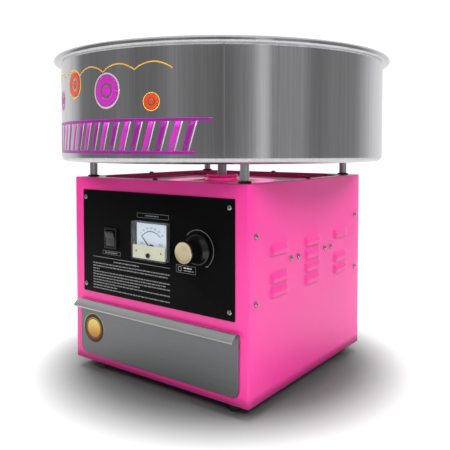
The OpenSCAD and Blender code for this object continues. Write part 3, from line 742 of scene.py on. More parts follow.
def louvre_rise(along, height):
    """How far the side stands out: ramp in height times fall-off at both ends, per louvre."""
    rise = 0 * (along + height)
    for column, low in louvres:
        up = (height - low) / LOUVRE_H
        ramp = smooth((1 - up) * 1.5) * (up > -0.001)
        ends = smooth((LOUVRE_W / 2 - np.abs(along - column)) / 0.0055)
        rise = rise + LOUVRE_OUT * ramp * ends
    return rise


def octagon(angle, inset=0.0):
    """Distance to the edge of the clipped square in each direction, less an inset."""
    across, up = np.abs(np.cos(angle)), np.abs(np.sin(angle))
    straight = (RECESS_HALF - inset) / np.maximum(across, up)
    clipped = (2 * RECESS_HALF - RECESS_CLIP - inset * math.sqrt(2)) / (across + up)
    return np.minimum(straight, clipped)


def cabinet_outline():
    """Points of the closed outline seen from above: right side, back, left side and front.
    Close columns lie at the ends of the louvres, beside the drawer's opening, and where the
    corners of the octagon will be."""
    share = (RECESS_HALF - RECESS_CLIP) / RECESS_HALF
    steps = np.array([0, 0.4, 0.8, 1, 1.4, 2, 2.6, 3.3, 4.2, 5.5, 9, 14]) * MM
    ends = np.concatenate([LOUVRE_W / 2 - steps, -LOUVRE_W / 2 + steps])
    side_y = np.concatenate([column + ends for column in LOUVRE_COLUMNS])
    low_y, high_y = FACE_Y + BEND_R, BACK_Y - BEND_R
    side_y = np.unique(np.round(np.concatenate([
        side_y, np.linspace(low_y, high_y, 21), [-HALF_W * share, HALF_W * share]]), 6))
    half = HALF_W - BEND_R
    front_x = np.unique(np.round(np.concatenate([
        np.linspace(-half, half, 19), [-OPENING_HALF, OPENING_HALF],
        [-OPENING_HALF - MM, OPENING_HALF + MM], [-HALF_W * share, HALF_W * share]]), 6))
    back_x = np.unique(np.round(np.concatenate([
        np.linspace(-half, half, 19), [-BACK_Y * share, BACK_Y * share]]), 6))
    corners = [arc((x, y), BEND_R, start, start + 90, 6)[1:-1] for x, y, start in
               [(half, high_y, 0), (-half, high_y, 90), (-half, low_y, 180), (half, low_y, 270)]]
    runs = [np.column_stack([np.full(len(side_y), HALF_W), side_y]), corners[0],
            np.column_stack([back_x[::-1], np.full(len(back_x), BACK_Y)]), corners[1],
            np.column_stack([np.full(len(side_y), -HALF_W), side_y[::-1]]), corners[2],
            np.column_stack([front_x, np.full(len(front_x), FACE_Y)]), corners[3]]
    return np.concatenate(runs)


def cabinet_heights():
    """Rows up the wall: even ones, the drawer opening's, and close ones at each louvre."""
    steps = np.array([-1.2, -0.3, 0, 0.6, 1.4, 2.6, 4, 5.5, 7, 8.5, 10, 11.5, 12.7, 13.8, 15]) * MM
    rows = [LOUVRE_LOW + k * LOUVRE_PITCH + steps for k in range(LOUVRE_ROWS)]
    opening = [OPENING_LOW - MM, OPENING_LOW, OPENING_HIGH, OPENING_HIGH + MM]
    even = [BASE_Z, 0.05, 0.075, 0.12, 0.135, 0.232, 0.25, 0.27, 0.285, TOP_Z - TOP_BEND]
    return np.unique(np.round(np.concatenate([*rows, opening, even]), 6))


def cabinet_shell():
    """Wall, top bend and flange as rings, with holes for drawer, louvres and the open back."""
    outline = cabinet_outline()
    heights = cabinet_heights()
    side = np.abs(np.abs(outline[:, 0]) - HALF_W) < 1e-6
    rise = louvre_rise(outline[:, 1], heights[:, None]) * side
    wall = np.stack([outline[:, 0] + np.sign(outline[:, 0]) * rise, outline[:, 1] + 0 * rise,
                     heights[:, None] + 0 * rise], -1)
    middle = np.array([0.0, (FACE_Y + BACK_Y) / 2])
    size = np.array([HALF_W, (BACK_Y - FACE_Y) / 2])
    bend = []
    for inset, up in arc((TOP_BEND, 0), TOP_BEND, 180, 90, 6)[1:]:
        shrunk = middle + (outline - middle) * (size - inset) / size
        bend.append(np.column_stack([shrunk, np.full(len(outline), TOP_Z - TOP_BEND + up)]))
    angle = np.arctan2(outline[:, 1], outline[:, 0])
    flange = round_axis(octagon(angle), angle, TOP_Z)
    rings = np.concatenate([wall, bend, [0.5 * bend[-1] + 0.5 * flange], [flange]])
    keep = np.ones((len(rings) - 1, len(outline)), bool)
    keep[:len(heights) - 1] = ~wall_holes(outline, heights)
    return skin(rings, caps=False, keep=keep)


def wall_holes(outline, heights):
    """True for each face of the wall that is cut away: drawer opening, open back and slits."""
    x, y = ((outline + np.roll(outline, -1, axis=0)) / 2).T
    level = (heights[:-1] + heights[1:])[:, None] / 2
    opening = (np.abs(y - FACE_Y) < 1e-5) & (np.abs(x) < OPENING_HALF)
    opening = opening & (level > OPENING_LOW) & (level < OPENING_HIGH)
    cut = opening | (np.abs(y - BACK_Y) < 1e-5)
    on_side = np.abs(np.abs(x) - HALF_W) < 1e-5
    for column, low in louvres:
        under = (level > low - SLIT_H) & (level < low)
        cut = cut | (under & on_side & (np.abs(y - column) < LOUVRE_W / 2 - SLIT_END))
    return cut


piece("cabinet_sheet", [cabinet_shell()], "cabinet", "pink_paint", ["cabinet_wrap"],
      gauge=SHEET_T, crease=40)

# %% [markdown]
# ## The top tray and its collar
#
# Spilt sugar collects in an octagonal recess. The tray's wall drops to a flat floor through a
# small fillet, and a collar with a rolled lip keeps the sugar away from the shaft. The recess
# could be cut out with a Boolean, but rings whose radius is the octagon's distance in each
# direction give clean faces that a fillet can follow.


# %% Tray and collar
def tray_shell():
    """Rings: a hidden flange, the wall of the octagon, its fillet, the floor and the hole."""
    corner = math.atan2(RECESS_HALF - RECESS_CLIP, RECESS_HALF)
    corners = [turn * math.pi / 2 + sign * corner for turn in range(4) for sign in (-1, 1)]
    angle = np.unique(np.concatenate([np.linspace(-np.pi, np.pi, 144, endpoint=False),
                                      (np.array(corners) + np.pi) % (2 * np.pi) - np.pi]))
    floor = tray_low.z + SHEET_T
    fillet = arc((0.0025, floor + 0.0025), 0.0025, 180, 270, 6)
    section = line_of((-0.010, TOP_Z - 0.0013), (0.0, TOP_Z - 0.0013), fillet, (0.02, floor))
    rings = [round_axis(octagon(angle, inset), angle, z) for inset, z in section]
    rings += [round_axis(radius, angle, floor) for radius in (0.100, 0.060, COLLAR_BORE + MM)]
    return skin(np.array(rings), caps=False)


collar_low, collar_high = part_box("shaft_collar")
COLLAR_BORE = 0.017
COLLAR_LIP = 0.0017
collar_r = collar_high.x
collar_section = line_of(
    (collar_r + 0.003, collar_low.z), (collar_r + 0.003, collar_low.z + SHEET_T),
    arc((collar_r + 0.001, collar_low.z + 0.0032), 0.002, 270, 180, 4),
    (collar_r - 0.003, collar_high.z - 0.004),
    arc((collar_r - COLLAR_LIP, collar_high.z - COLLAR_LIP), COLLAR_LIP, -60, 200, 12),
    (collar_r - 0.005, collar_low.z + 0.004), (0.019, collar_low.z + 0.0015),
    (COLLAR_BORE, collar_low.z + SHEET_T), (COLLAR_BORE, collar_low.z))
piece("tray_pan", [tray_shell()], "cabinet", "pink_paint", ["top_tray"],
      gauge=SHEET_T)
piece("collar_ring", [turned(collar_section, 96, closed=True)], "cabinet", "pink_paint",
      ["shaft_collar"])

# %% [markdown]
# ## Screws
#
# The screws have pan heads with a cross recess. A cross could be cut with a Boolean, but so small
# a recess does with a height: as a function of radius and angle, the head is a dome minus a
# cross, and the cross is the higher of two bars that fade at their ends.


# %% Screw heads
def screw_head(radius, height, finish=0):
    """Pan head on Z = 0: h sqrt(1 - (r/R)^3) less a cross recess 0.6 h deep."""
    share = np.concatenate([np.linspace(0.02, 0.72, 13), [0.8, 0.88, 0.94, 0.98, 1.0]])[::-1]
    angle = np.linspace(0, 2 * np.pi, 48, endpoint=False)
    r = radius * share[:, None]
    x, y = r * np.cos(angle), r * np.sin(angle)
    dome = height * (0.35 + 0.65 * np.sqrt(np.maximum(1 - (r / radius) ** 3, 0)))
    bar = [smooth((0.15 - np.abs(a) / radius) / 0.10) * smooth((0.62 - np.abs(b) / radius) / 0.16)
           for a, b in ((x, y), (y, x))]
    z = dome - 0.6 * height * np.maximum(*bar)
    rings = np.stack([x, y, z], -1)
    foot = rings[:1] * [1, 1, 0] - [0, 0, 0.0003]
    return skin(np.concatenate([foot, rings]), finish=finish)


side_low, side_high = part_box("side_screws")
bar_low, bar_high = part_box("motor_crossbars")
SCREW_R = 0.0037
SCREW_H = 0.0026
SMALL_SCREW_R = 0.0035
SMALL_SCREW_H = 0.0024
HALF_CROSSBAR = 0.016
PAIR_STEP = 0.010
edge_y = side_high.y - SCREW_R
edge_z = (side_low.z + SCREW_R, side_high.z - SCREW_R)
bar_y = bar_high.y - HALF_CROSSBAR
bar_z = (bar_low.z + bar_high.z) / 2
screw_places = [(y, z) for y in (-edge_y, edge_y) for z in edge_z]
screw_places += [(y + step, bar_z) for y in (-bar_y, bar_y) for step in (-PAIR_STEP, PAIR_STEP)]
turns = np.random.default_rng(5)


def spun(shell):
    """The shell turned about its own axis by a chance angle, as screws are left."""
    angle = turns.uniform(0, np.pi / 2)
    turn = [[math.cos(angle), -math.sin(angle), 0], [math.sin(angle), math.cos(angle), 0], [0, 0, 1]]
    return placed(shell, (0, 0, 0), turn)


side_heads = [placed(spun(screw_head(SCREW_R, SCREW_H)), (side * HALF_W, y, z), turn)
              for side, turn in ((1, TO_RIGHT), (-1, TO_LEFT)) for y, z in screw_places]
piece("side_screw_heads", side_heads, "cabinet", "chrome_screw", ["side_screws"])

tray_screw_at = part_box("tray_screws")[1].x - SCREW_R
tray_heads = [placed(spun(screw_head(SCREW_R, SMALL_SCREW_H)), (x, y, TOP_Z)) for x, y in
              ((tray_screw_at, 0), (0, tray_screw_at), (-tray_screw_at, 0), (0, -tray_screw_at))]
piece("tray_screw_heads", tray_heads, "cabinet", "black_screw", ["tray_screws"])

panel_screw_low, panel_screw_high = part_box("control_plate_screws")
panel_x = panel_screw_high.x - SMALL_SCREW_R
panel_z = (panel_screw_low.z + SMALL_SCREW_R, panel_screw_high.z - SMALL_SCREW_R)
panel_heads = [placed(spun(screw_head(SMALL_SCREW_R, SMALL_SCREW_H)), (x, plate_low.y, z), TO_FRONT)
               for x in (-panel_x, panel_x) for z in panel_z]
piece("control_plate_screw_heads", panel_heads, "cabinet", "chrome_screw", ["control_plate_screws"])

# %% [markdown]
# ## Posts and the screws in the bowl's floor
#
# Four turned posts carry the bowl. Each stands on a rubber washer, has a chamfer at both ends,
# and takes a screw with a broad washer from inside the bowl. A cylinder with a Bevel would do
# for the post alone. Turned sections do for all of them, and each is only a few points.

# %% Posts, washers and bowl screws
_, post_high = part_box("bowl_posts")
washer_low, washer_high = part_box("post_washers")
POST_R = 0.006
POST_EDGE = 0.0008
post_at = post_high.x - POST_R
at_posts = [(x, y) for x in (-post_at, post_at) for y in (-post_at, post_at)]
post_section = line_of((POST_R - POST_EDGE, washer_high.z), (POST_R, washer_high.z + POST_EDGE),
                       (POST_R, post_high.z - POST_EDGE), (POST_R - POST_EDGE, post_high.z))
washer_section = line_of((POST_R, washer_low.z),
                         arc((0.0078, washer_low.z + 0.0012), 0.0012, -90, 90),
                         (POST_R, washer_high.z))
floor_washer = line_of((0.0024, 0), (0.0076, 0), (0.008, 0.0003), (0.008, 0.0009),
                       (0.0076, 0.0012), (0.0024, 0.0012))
floor_z = bowl_low.z + BOWL_T
piece("posts", [placed(turned(post_section, 32), (x, y, 0)) for x, y in at_posts],
      "cabinet", "post_steel", ["bowl_posts"])
piece("washers", [placed(turned(washer_section, 32), (x, y, 0)) for x, y in at_posts],
      "cabinet", "rubber", ["post_washers"])
piece("bowl_screw_heads",
      [placed(shell, (x, y, z)) for x, y in at_posts for shell, z in
       ((turned(floor_washer, 32), floor_z), (spun(screw_head(0.00475, 0.003)), floor_z + 0.0012))],
      "cabinet", "chrome_screw", ["bowl_screws"])

# %% [markdown]
# ## Feet, back panel and its fittings
#
# The feet are moulded rubber with a soft lower edge. The back panel is set in by a millimetre,
# with a cord gland and a fuse holder low on it. All but the panel and the gland's nut are round,
# so they are turned. The nut is a short stack of hexagons, which leaves its corners crisp.

# %% Feet and back
FOOT_R = 0.008
FOOT_BORE = 0.0042
foot_x = foot_high.x - FOOT_R
foot_y = foot_high.y - FOOT_R
foot_section = line_of((FOOT_BORE, 0.001), (FOOT_BORE, 0.0),
                       arc((0.0058, 0.0012), 0.0012, -90, 0, 5),
                       (FOOT_R, foot_high.z - 0.001), (FOOT_R - 0.0008, foot_high.z),
                       (FOOT_BORE, foot_high.z))
piece("feet", [placed(turned(foot_section, 32, closed=True), (x, y, 0))
               for x in (-foot_x, foot_x) for y in (-foot_y, foot_y)],
      "cabinet", "rubber", ["rubber_feet"])

back_plate = plate(back_high.x - back_low.x, back_high.z - back_low.z, 0.001,
                   soft_edge(SHEET_T, 0.0005))
piece("back_sheet", [placed(back_plate, (0, back_high.y - SHEET_T, (back_low.z + back_high.z) / 2),
                            TO_BACK)],
      "cabinet", "pink_paint", ["back_panel"])


def middle_of(node):
    """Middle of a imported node's box, as x, y and z."""
    low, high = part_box(node)
    return [(start + end) / 2 for start, end in zip(low, high)]


def hexagon(levels):
    """Hexagonal nut: each level is (width across flats, height)."""
    turn = np.radians(np.arange(6) * 60.0)
    return skin(np.array([round_axis(width / 1.732, turn, z) for width, z in levels]))


gland_x, _, gland_z = middle_of("cord_gland")
gland_at = (gland_x, back_high.y, gland_z)
gland_nut = hexagon([(0.019, 0.0), (0.0208, 0.0006), (0.0208, 0.0034), (0.019, 0.004)])
gland_dome = turned(line_of((0.0042, -0.012), (0.0079, -0.012), (0.0079, 0.004), (0.0095, 0.0042),
                            (0.0095, 0.009), arc((0.0045, 0.009), 0.005, 0, 75, 6),
                            (0.0046, 0.0155), (0.0042, 0.0145)), 48, closed=True)
piece("gland", [placed(shell, gland_at, TO_BACK) for shell in (gland_nut, gland_dome)],
      "cabinet", "black_plastic", ["cord_gland"])

fuse_x, _, fuse_z = middle_of("fuse_holder")
fuse_at = (fuse_x, back_high.y, fuse_z)
fuse_body = turned(line_of((0.0002, -0.03), (0.0064, -0.03), (0.0064, 0.0), (0.0085, 0.0002),
                           arc((0.0079, 0.0024), 0.0006, 0, 90, 4), (0.0065, 0.0032),
                           (0.0062, 0.0100), arc((0.0054, 0.0102), 0.0008, 0, 90, 4),
                           (0.0002, 0.011)), 40)
piece("fuse_cap", [placed(fuse_body, fuse_at, TO_BACK)], "cabinet", "black_plastic",
      ["fuse_holder"])

# %% [markdown]
# ## The control plate and its print
#
# The plate is a flat black sheet with slightly broken edges. The print on it is ink a tenth of
# a millimetre thick: boxes round the labels, a block of small print, and the knob's scale. A
# mask in the plate's material would need a sharp pattern for each mark, so the marks are thin
# bars instead. The small print is bars of word-like lengths, with no letters.

# %% Control plate
plate_w = plate_high.x - plate_low.x
plate_h = plate_high.z - plate_low.z
plate_mid_z = (plate_low.z + plate_high.z) / 2
PLATE_Y = plate_low.y
piece("control_face",
      [placed(plate(plate_w, plate_h, 0.0012, soft_edge(plate_high.y - plate_low.y, 0.0004)),
              (0, plate_high.y, plate_mid_z), TO_FRONT)],
      "cabinet", "black_panel", ["control_plate"])

switch_low, switch_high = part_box("switch_housing")
window_low, window_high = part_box("meter_window")
SWITCH_X = (switch_low.x + switch_high.x) / 2
METER_X = (window_low.x + window_high.x) / 2
METER_Z = (window_low.z + window_high.z) / 2
KNOB_X = knob_middle.x
CONTROL_Z = knob_middle.z
INK_T = 0.0001
WORD_GAP = 0.0011
BOX_LINE = 0.0004


def bar(x, z, width, height, finish=0):
    """Low printed bar with its centre at (x, z) on the plate."""
    levels = [(0.0, -INK_T), (0.0, INK_T)]
    return placed(plate(width, height, 0.0001, levels, finish, steps=2), (x, PLATE_Y, z), TO_FRONT)


def frame_of_bars(x, z, width, height, line=BOX_LINE):
    """Thin outline of a label: four bars."""
    return [bar(x, z + s * height / 2, width, line) for s in (-1, 1)] + [
        bar(x + s * width / 2, z, line, height) for s in (-1, 1)]


def words(left, right, z, height, chance, finish=0):
    """A line of small print as bars: word lengths from 2 to 8 mm until the line is full."""
    marks = []
    at = left
    while at < right - 0.002:
        length = min(chance.uniform(0.002, 0.008), right - at)
        marks.append(bar(at + length / 2, z, length, height, finish))
        at += length + WORD_GAP
    return marks


def scale_arc(at, radius, start, end, line, steps=60):
    """Printed arc: a flat strip of the given line width, from start to end degrees."""
    angle = np.radians(np.linspace(start, end, steps))[:, None]
    reach = radius + line / 2 * np.array([-1, 1, 1, -1])
    height = INK_T * np.array([-1, -1, 1, 1])
    return placed(skin(round_axis(reach, angle, height)), at, TO_FRONT)


def small_print():
    """Heading and ten lines below the switch and the meter, in uneven paragraphs."""
    chance = np.random.default_rng(11)
    left = -0.122
    right = 0.0345
    top = 0.1795
    marks = [bar((left + right) / 2, top, right - left, 0.0007)]
    marks += words(-0.077, -0.025, top - 0.0048, 0.0016, chance)
    shares = (1.0, 0.98, 0.10, 1.0, 0.97, 1.0, 0.63, 1.0, 0.34, 1.0)
    for k, share in enumerate(shares):
        z = top - 0.0098 - 0.0042 * k
        marks += words(left, left + (right - left) * share, z, 0.0015, chance)
    return marks


def plate_print():
    """All the print on the plate, in grey ink, with the brighter marks in white."""
    chance = np.random.default_rng(3)
    marks = small_print()
    marks += frame_of_bars(METER_X, METER_Z + 0.0345, 0.060, 0.0062)
    marks += words(METER_X - 0.014, METER_X + 0.014, METER_Z + 0.0345, 0.0014, chance)
    marks += frame_of_bars(SWITCH_X, CONTROL_Z - 0.0225, 0.038, 0.0050)
    marks += words(SWITCH_X - 0.014, SWITCH_X + 0.015, CONTROL_Z - 0.0225, 0.0015, chance)
    label_x = KNOB_X - 0.021
    label_z = CONTROL_Z - 0.0290
    marks += frame_of_bars(label_x, label_z, 0.034, 0.0100)
    marks += frame_of_bars(label_x - 0.0105, label_z, 0.0050, 0.0058, line=0.0009)
    marks += words(label_x - 0.004, label_x + 0.010, label_z + 0.0018, 0.0013, chance, finish=1)
    marks += words(label_x - 0.004, label_x + 0.014, label_z - 0.0018, 0.0013, chance)
    marks.append(scale_arc((KNOB_X, PLATE_Y, CONTROL_Z), 0.026, 138, -52, 0.0005))
    marks.append(bar(KNOB_X + 0.0145, CONTROL_Z - 0.021, 0.0045, 0.0009))
    return marks


piece("plate_print", plate_print(), "cabinet", "black_panel", finishes=[grey_ink, white_ink])

# %% [markdown]
# ## The switch
#
# A rocker switch snaps into the plate. Its bezel stands proud with a round edge, and the
# rocker is a shallow V. The rocker could be modelled flat and turned as an object, but a
# finished piece isn't turned. So its section is drawn in its own plane, and its points are
# tilted to the off position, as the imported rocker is.

# %% Switch
bezel_w = switch_high.x - switch_low.x
bezel_h = switch_high.z - switch_low.z
bezel_out = PLATE_Y - switch_low.y


def outline_at(width, height, radius, z):
    """Rounded rectangle as one ring of points at height z."""
    flat = rounded(width, height, radius)
    return np.column_stack([flat, np.full(len(flat), z)])


def ring_plate(width, height, radius, rim, levels):
    """Frame: outer outlines at each level, then inner ones back down, closed into a ring."""
    outer = [outline_at(width - 2 * inset, height - 2 * inset, radius - inset, z)
             for inset, z in levels]
    inner = [outline_at(width - 2 * (rim - inset), height - 2 * (rim - inset), (radius + inset) / 2, z)
             for inset, z in levels[::-1]]
    return skin(np.array(outer + inner), closed=True)


bezel_levels = [(0.0, -0.0002), (0.0, bezel_out - 0.0010), (0.0003, bezel_out - 0.0003),
                (0.0010, bezel_out)]
well = plate(bezel_w - 0.006, bezel_h - 0.004, 0.001, [(0.0, -0.012), (0.0, -0.010)])
piece("switch_bezel",
      [placed(shell, (SWITCH_X, PLATE_Y, CONTROL_Z), TO_FRONT) for shell in
       (ring_plate(bezel_w, bezel_h, 0.0018, 0.0033, bezel_levels), well)],
      "cabinet", "black_plastic", ["switch_housing"])

ROCKER_TILT = math.radians(9)
ROCKER_HALF = 0.0114
ROCKER_W = 0.0184


def rocker_section():
    """Side view of the rocker as (out, up): a V-shaped face with round lips, and a belly."""
    return line_of(arc((0.0040, ROCKER_HALF - 0.0006), 0.0006, 90, 0, 3), (0.0032, 0.0007),
                   (0.0031, 0.0), (0.0032, -0.0007),
                   arc((0.0040, 0.0006 - ROCKER_HALF), 0.0006, 0, -90, 3), (-0.0020, -ROCKER_HALF),
                   (-0.0070, -0.004), (-0.0070, 0.004), (-0.0020, ROCKER_HALF))


def tilted(points):
    """Points (across, out, up) about the pivot, tipped to the off position and put in place."""
    across, out, up = points[..., 0], points[..., 1], points[..., 2]
    y = -out * math.cos(ROCKER_TILT) - up * math.sin(ROCKER_TILT)
    z = -out * math.sin(ROCKER_TILT) + up * math.cos(ROCKER_TILT)
    return np.stack([SWITCH_X + across, PLATE_Y + y, CONTROL_Z + z], -1)


def rocker_rings():
    """The section, once for each place across the rocker, drawn in at both ends."""
    section = rocker_section()
    middle = section.mean(0)
    ends = ((0.5, 0.93), (0.485, 0.98), (0.465, 1.0))
    stations = [(-across, shrink) for across, shrink in ends] + list(ends[::-1])
    rings = []
    for across, shrink in stations:
        flat = middle + (section - middle) * shrink
        rings.append(np.column_stack([np.full(len(flat), across * ROCKER_W), flat]))
    return tilted(np.array(rings))


def rocker_mark(across, out, up):
    """Flat mark on the rocker's face, from grids of across and up at one distance out."""
    return sheet(tilted(np.stack(np.broadcast_arrays(across, out, up), -1)))


def rocker_marks():
    """A bar on the upper half and a ring on the lower half, the usual on and off marks."""
    angle = np.linspace(0, 2 * np.pi, 25)[:, None]
    reach = np.array([0.0014, 0.0019])
    ring = rocker_mark(reach * np.cos(angle), 0.00372, reach * np.sin(angle) - 0.0062)
    stroke = rocker_mark(np.array([-0.00025, 0.00025]), 0.0036, np.array([[0.0044], [0.0080]]))
    return [ring, stroke]


piece("rocker", [skin(rocker_rings())], "switch_rocker", "knob_plastic", ["switch_rocker"])
piece("rocker_marks", rocker_marks(), "switch_rocker", "knob_plastic", finishes=[grey_ink],
      gauge=0.0001)

# %% [markdown]
# ## The voltmeter
#
# The voltmeter shows how hard the heater is driven. Behind a clear front box lie a white dial
# and a cream cover over the movement. One clear face would do for the window, but a hollow box
# with a real wall shows its edges, as clear plastic does.

# %% Meter window and cover
window_w = window_high.x - window_low.x
window_h = window_high.z - window_low.z
window_out = PLATE_Y - window_low.y
GLASS = 0.0016


def window_rings():
    """Outer box from the front inwards to the plate, then the inner box back to the front."""
    edge = 0.0011
    outer = [(edge, window_out), (edge * 0.35, window_out - edge * 0.25), (0.0, window_out - edge),
             (0.0, 0.0001)]
    inner = [(GLASS, 0.0001), (GLASS, window_out - GLASS - 0.0006),
             (GLASS + 0.0006, window_out - GLASS)]
    return [outline_at(window_w - 2 * inset, window_h - 2 * inset, 0.0024 - inset * 0.6, out)
            for inset, out in outer + inner]


piece("meter_front", [placed(skin(np.array(window_rings())), (METER_X, PLATE_Y, METER_Z), TO_FRONT)],
      "cabinet", "clear_plastic", ["meter_window"])

cover_low, cover_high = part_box("meter_cover")
cover_w = cover_high.x - cover_low.x
cover_h = cover_high.z - cover_low.z
cover_x, _, cover_z = middle_of("meter_cover")
cover_at = (cover_x, cover_high.y, cover_z)
cover = placed(plate(cover_w, cover_h, 0.001, soft_edge(cover_high.y - cover_low.y, 0.0006)),
               cover_at, TO_FRONT)
cover_dots = [placed(screw_head(0.0013, 0.0003, 1), (METER_X + across, cover_low.y, cover_z + 0.001),
                     TO_FRONT) for across in (-0.0235, 0.0235)]
piece("meter_apron", [cover, *cover_dots], "cabinet", "cream_plastic", ["meter_cover"],
      [cream_plastic, black_screw])

zero_low, zero_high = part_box("meter_zero_screw")
zero_x, _, zero_z = middle_of("meter_zero_screw")
zero_at = (zero_x, zero_high.y, zero_z)
zero_out = zero_high.y - zero_low.y
zero_section = line_of((0.0030, 0.0), (0.0030, zero_out - 0.0011), (0.0033, zero_out - 0.0010),
                       (0.0030, zero_out - 0.0002), (0.0026, zero_out), (0.0001, zero_out))
piece("zero_adjuster", [placed(turned(zero_section, 40), zero_at, TO_FRONT)], "cabinet",
      "black_plastic", ["meter_zero_screw"])

# %% [markdown]
# ### The dial
#
# The dial is a printed card, and the needle rides above it. Ticks and numbers follow the
# needle's own angles, from 45 degrees left to 45 degrees right of upright about its pivot, so
# they are placed by the same rule as the needle. Numbers are text that is turned into a mesh
# before it is put in place.

# %% Meter dial
dial_low, dial_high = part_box("meter_dial")
needle_joint = next(j for j in frame["joints"] if j["name"] == "meter_needle_swing")
PIVOT_X, PIVOT_Z = needle_joint["pos_m"][0], needle_joint["pos_m"][2]
DIAL_Y = dial_low.y
SCALE_R = 0.0245
PIVOT_AT = (PIVOT_X, DIAL_Y, PIVOT_Z)
DIAL_INK = [(0, -0.00005), (0, 0.00006)]


def dial_strip(radius, long, wide, angle):
    """Tick on the dial: a flat bar along the needle's direction at an angle from upright."""
    a = math.radians(angle)
    turn = [[math.cos(a), math.sin(a), 0], [-math.sin(a), math.cos(a), 0], [0, 0, 1]]
    flat = placed(plate(wide, long, 0.00005, DIAL_INK, steps=2),
                  (math.sin(a) * radius, math.cos(a) * radius, 0), turn)
    return placed(flat, PIVOT_AT, TO_FRONT)


def dial_ticks():
    """Arc, a tick for each step with every fifth one long, a half disc at the foot, and two
    small bars on either side."""
    marks = [scale_arc(PIVOT_AT, SCALE_R, 45, 135, 0.0009, steps=40)]
    for k in range(31):
        long = 0.0026 if k % 5 == 0 else 0.0014
        marks.append(dial_strip(SCALE_R + long / 2, long, 0.00022, -45 + 3 * k))
    marks.append(scale_arc(PIVOT_AT, 0.0035, 0, 180, 0.0068, steps=24))
    for x, z, width in ((-0.0185, 0.0080, 0.0075), (-0.0185, 0.0062, 0.0060),
                        (0.0180, 0.0080, 0.0080), (0.0180, 0.0062, 0.0080)):
        shape = plate(width, 0.0006, 0.00005, DIAL_INK, steps=2)
        marks.append(placed(shape, (PIVOT_X + x, DIAL_Y, PIVOT_Z + z), TO_FRONT))
    return marks


def lettered(text, size, across, up):
    """Number as a flat mesh, centred at (across, up) from the pivot and a hair off the dial."""
    curve = bpy.data.curves.new("number", "FONT")
    curve.body = text
    curve.size = size
    curve.align_x = "CENTER"
    curve.align_y = "CENTER"
    writing = bpy.data.objects.new("number", curve)
    bpy.context.scene.collection.objects.link(writing)
    bpy.context.view_layer.update()
    flat = writing.to_mesh()
    points = np.empty(len(flat.vertices) * 3)
    flat.vertices.foreach_get("co", points)
    faces = [list(face.vertices) for face in flat.polygons]
    writing.to_mesh_clear()
    bpy.data.objects.remove(writing)
    shell = Shell(points.reshape(-1, 3) + [across, up, 0.00012], faces, 0)
    return placed(shell, PIVOT_AT, TO_FRONT)


def dial_numbers():
    """0 to 300 along the scale, outside its ticks."""
    radius = SCALE_R + 0.0048
    marks = []
    for k in range(7):
        angle = math.radians(-45 + 15 * k)
        marks.append(lettered(str(50 * k), 0.0032, radius * math.sin(angle), radius * math.cos(angle)))
    return marks


piece("dial_scale", dial_ticks(), "cabinet", "dial_white", finishes=[black_ink])
piece("dial_numbers", dial_numbers(), "cabinet", "dial_white", finishes=[black_ink], gauge=0.00004)
piece("dial_face",
      [placed(plate(dial_high.x - dial_low.x, dial_high.z - dial_low.z, 0.001,
                    soft_edge(dial_high.y - dial_low.y, 0.0002)),
              (METER_X, dial_high.y, (dial_low.z + dial_high.z) / 2), TO_FRONT)],
      "cabinet", "dial_white", ["meter_dial"])

# %% [markdown]
# ## The knob
#
# The knob sets the heat. It is a ribbed grip on a skirt. The ribs could be copies of one rib,
# but they are moulded in one with the grip, so its outline is a circle with rounded ribs at
# equal angles, which fade towards the skirt and the front. It turns with its shaft, so every
# piece of it rides on the knob's body.

# %% Knob
grip_low, grip_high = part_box("control_knob")
SKIRT_R = (grip_high.x - grip_low.x) / 2
GRIP_R = 0.015
knob_out = grip_high.y - grip_low.y
RIBS = 28
RIB_DEPTH = 0.0008
ZERO_MARK = math.radians(146)


def knob_rings():
    """Rings (radius, height, rib): skirt, cone, ribbed grip and a soft front edge."""
    angle = np.linspace(0, 2 * np.pi, RIBS * 8, endpoint=False)
    rib = np.abs(np.cos(angle * RIBS / 2)) ** 0.6 - 1
    levels = [(SKIRT_R - 0.0004, 0.0, 0), (SKIRT_R, 0.0004, 0), (SKIRT_R, 0.0020, 0),
              (SKIRT_R - 0.0006, 0.0025, 0), (SKIRT_R - 0.0016, 0.0027, 0), (0.0168, 0.0062, 0),
              (0.0158, 0.0078, 0), (0.0152, 0.0095, 0.4), (GRIP_R, 0.0110, 1),
              (GRIP_R, knob_out - 0.0020, 1), (GRIP_R - 0.0001, knob_out - 0.0010, 0.5),
              (GRIP_R - 0.0004, knob_out - 0.0003, 0), (GRIP_R - 0.0009, knob_out, 0)]
    return np.array([round_axis(radius + RIB_DEPTH * share * rib, angle, height)
                     for radius, height, share in levels])


knob_at = (KNOB_X, grip_high.y, CONTROL_Z)
piece("knob_grip", [placed(skin(knob_rings()), knob_at, TO_FRONT)], "control_knob", "knob_plastic",
      ["control_knob"], crease=45)

cap_r = (knob_high.x - knob_low.x) / 2
cap_out = knob_high.y - knob_low.y
cap_section = line_of((cap_r, 0.0), arc((cap_r - 0.0006, cap_out - 0.0006), 0.0006, 0, 90, 5),
                      (cap_r - 0.0016, cap_out - 0.00035), (cap_r * 0.5, cap_out - 0.00045),
                      (0.0001, cap_out - 0.0005))
piece("knob_disc", [placed(turned(cap_section, 96), (KNOB_X, knob_high.y, CONTROL_Z), TO_FRONT)],
      "control_knob", "gold_cap", ["knob_cap"])


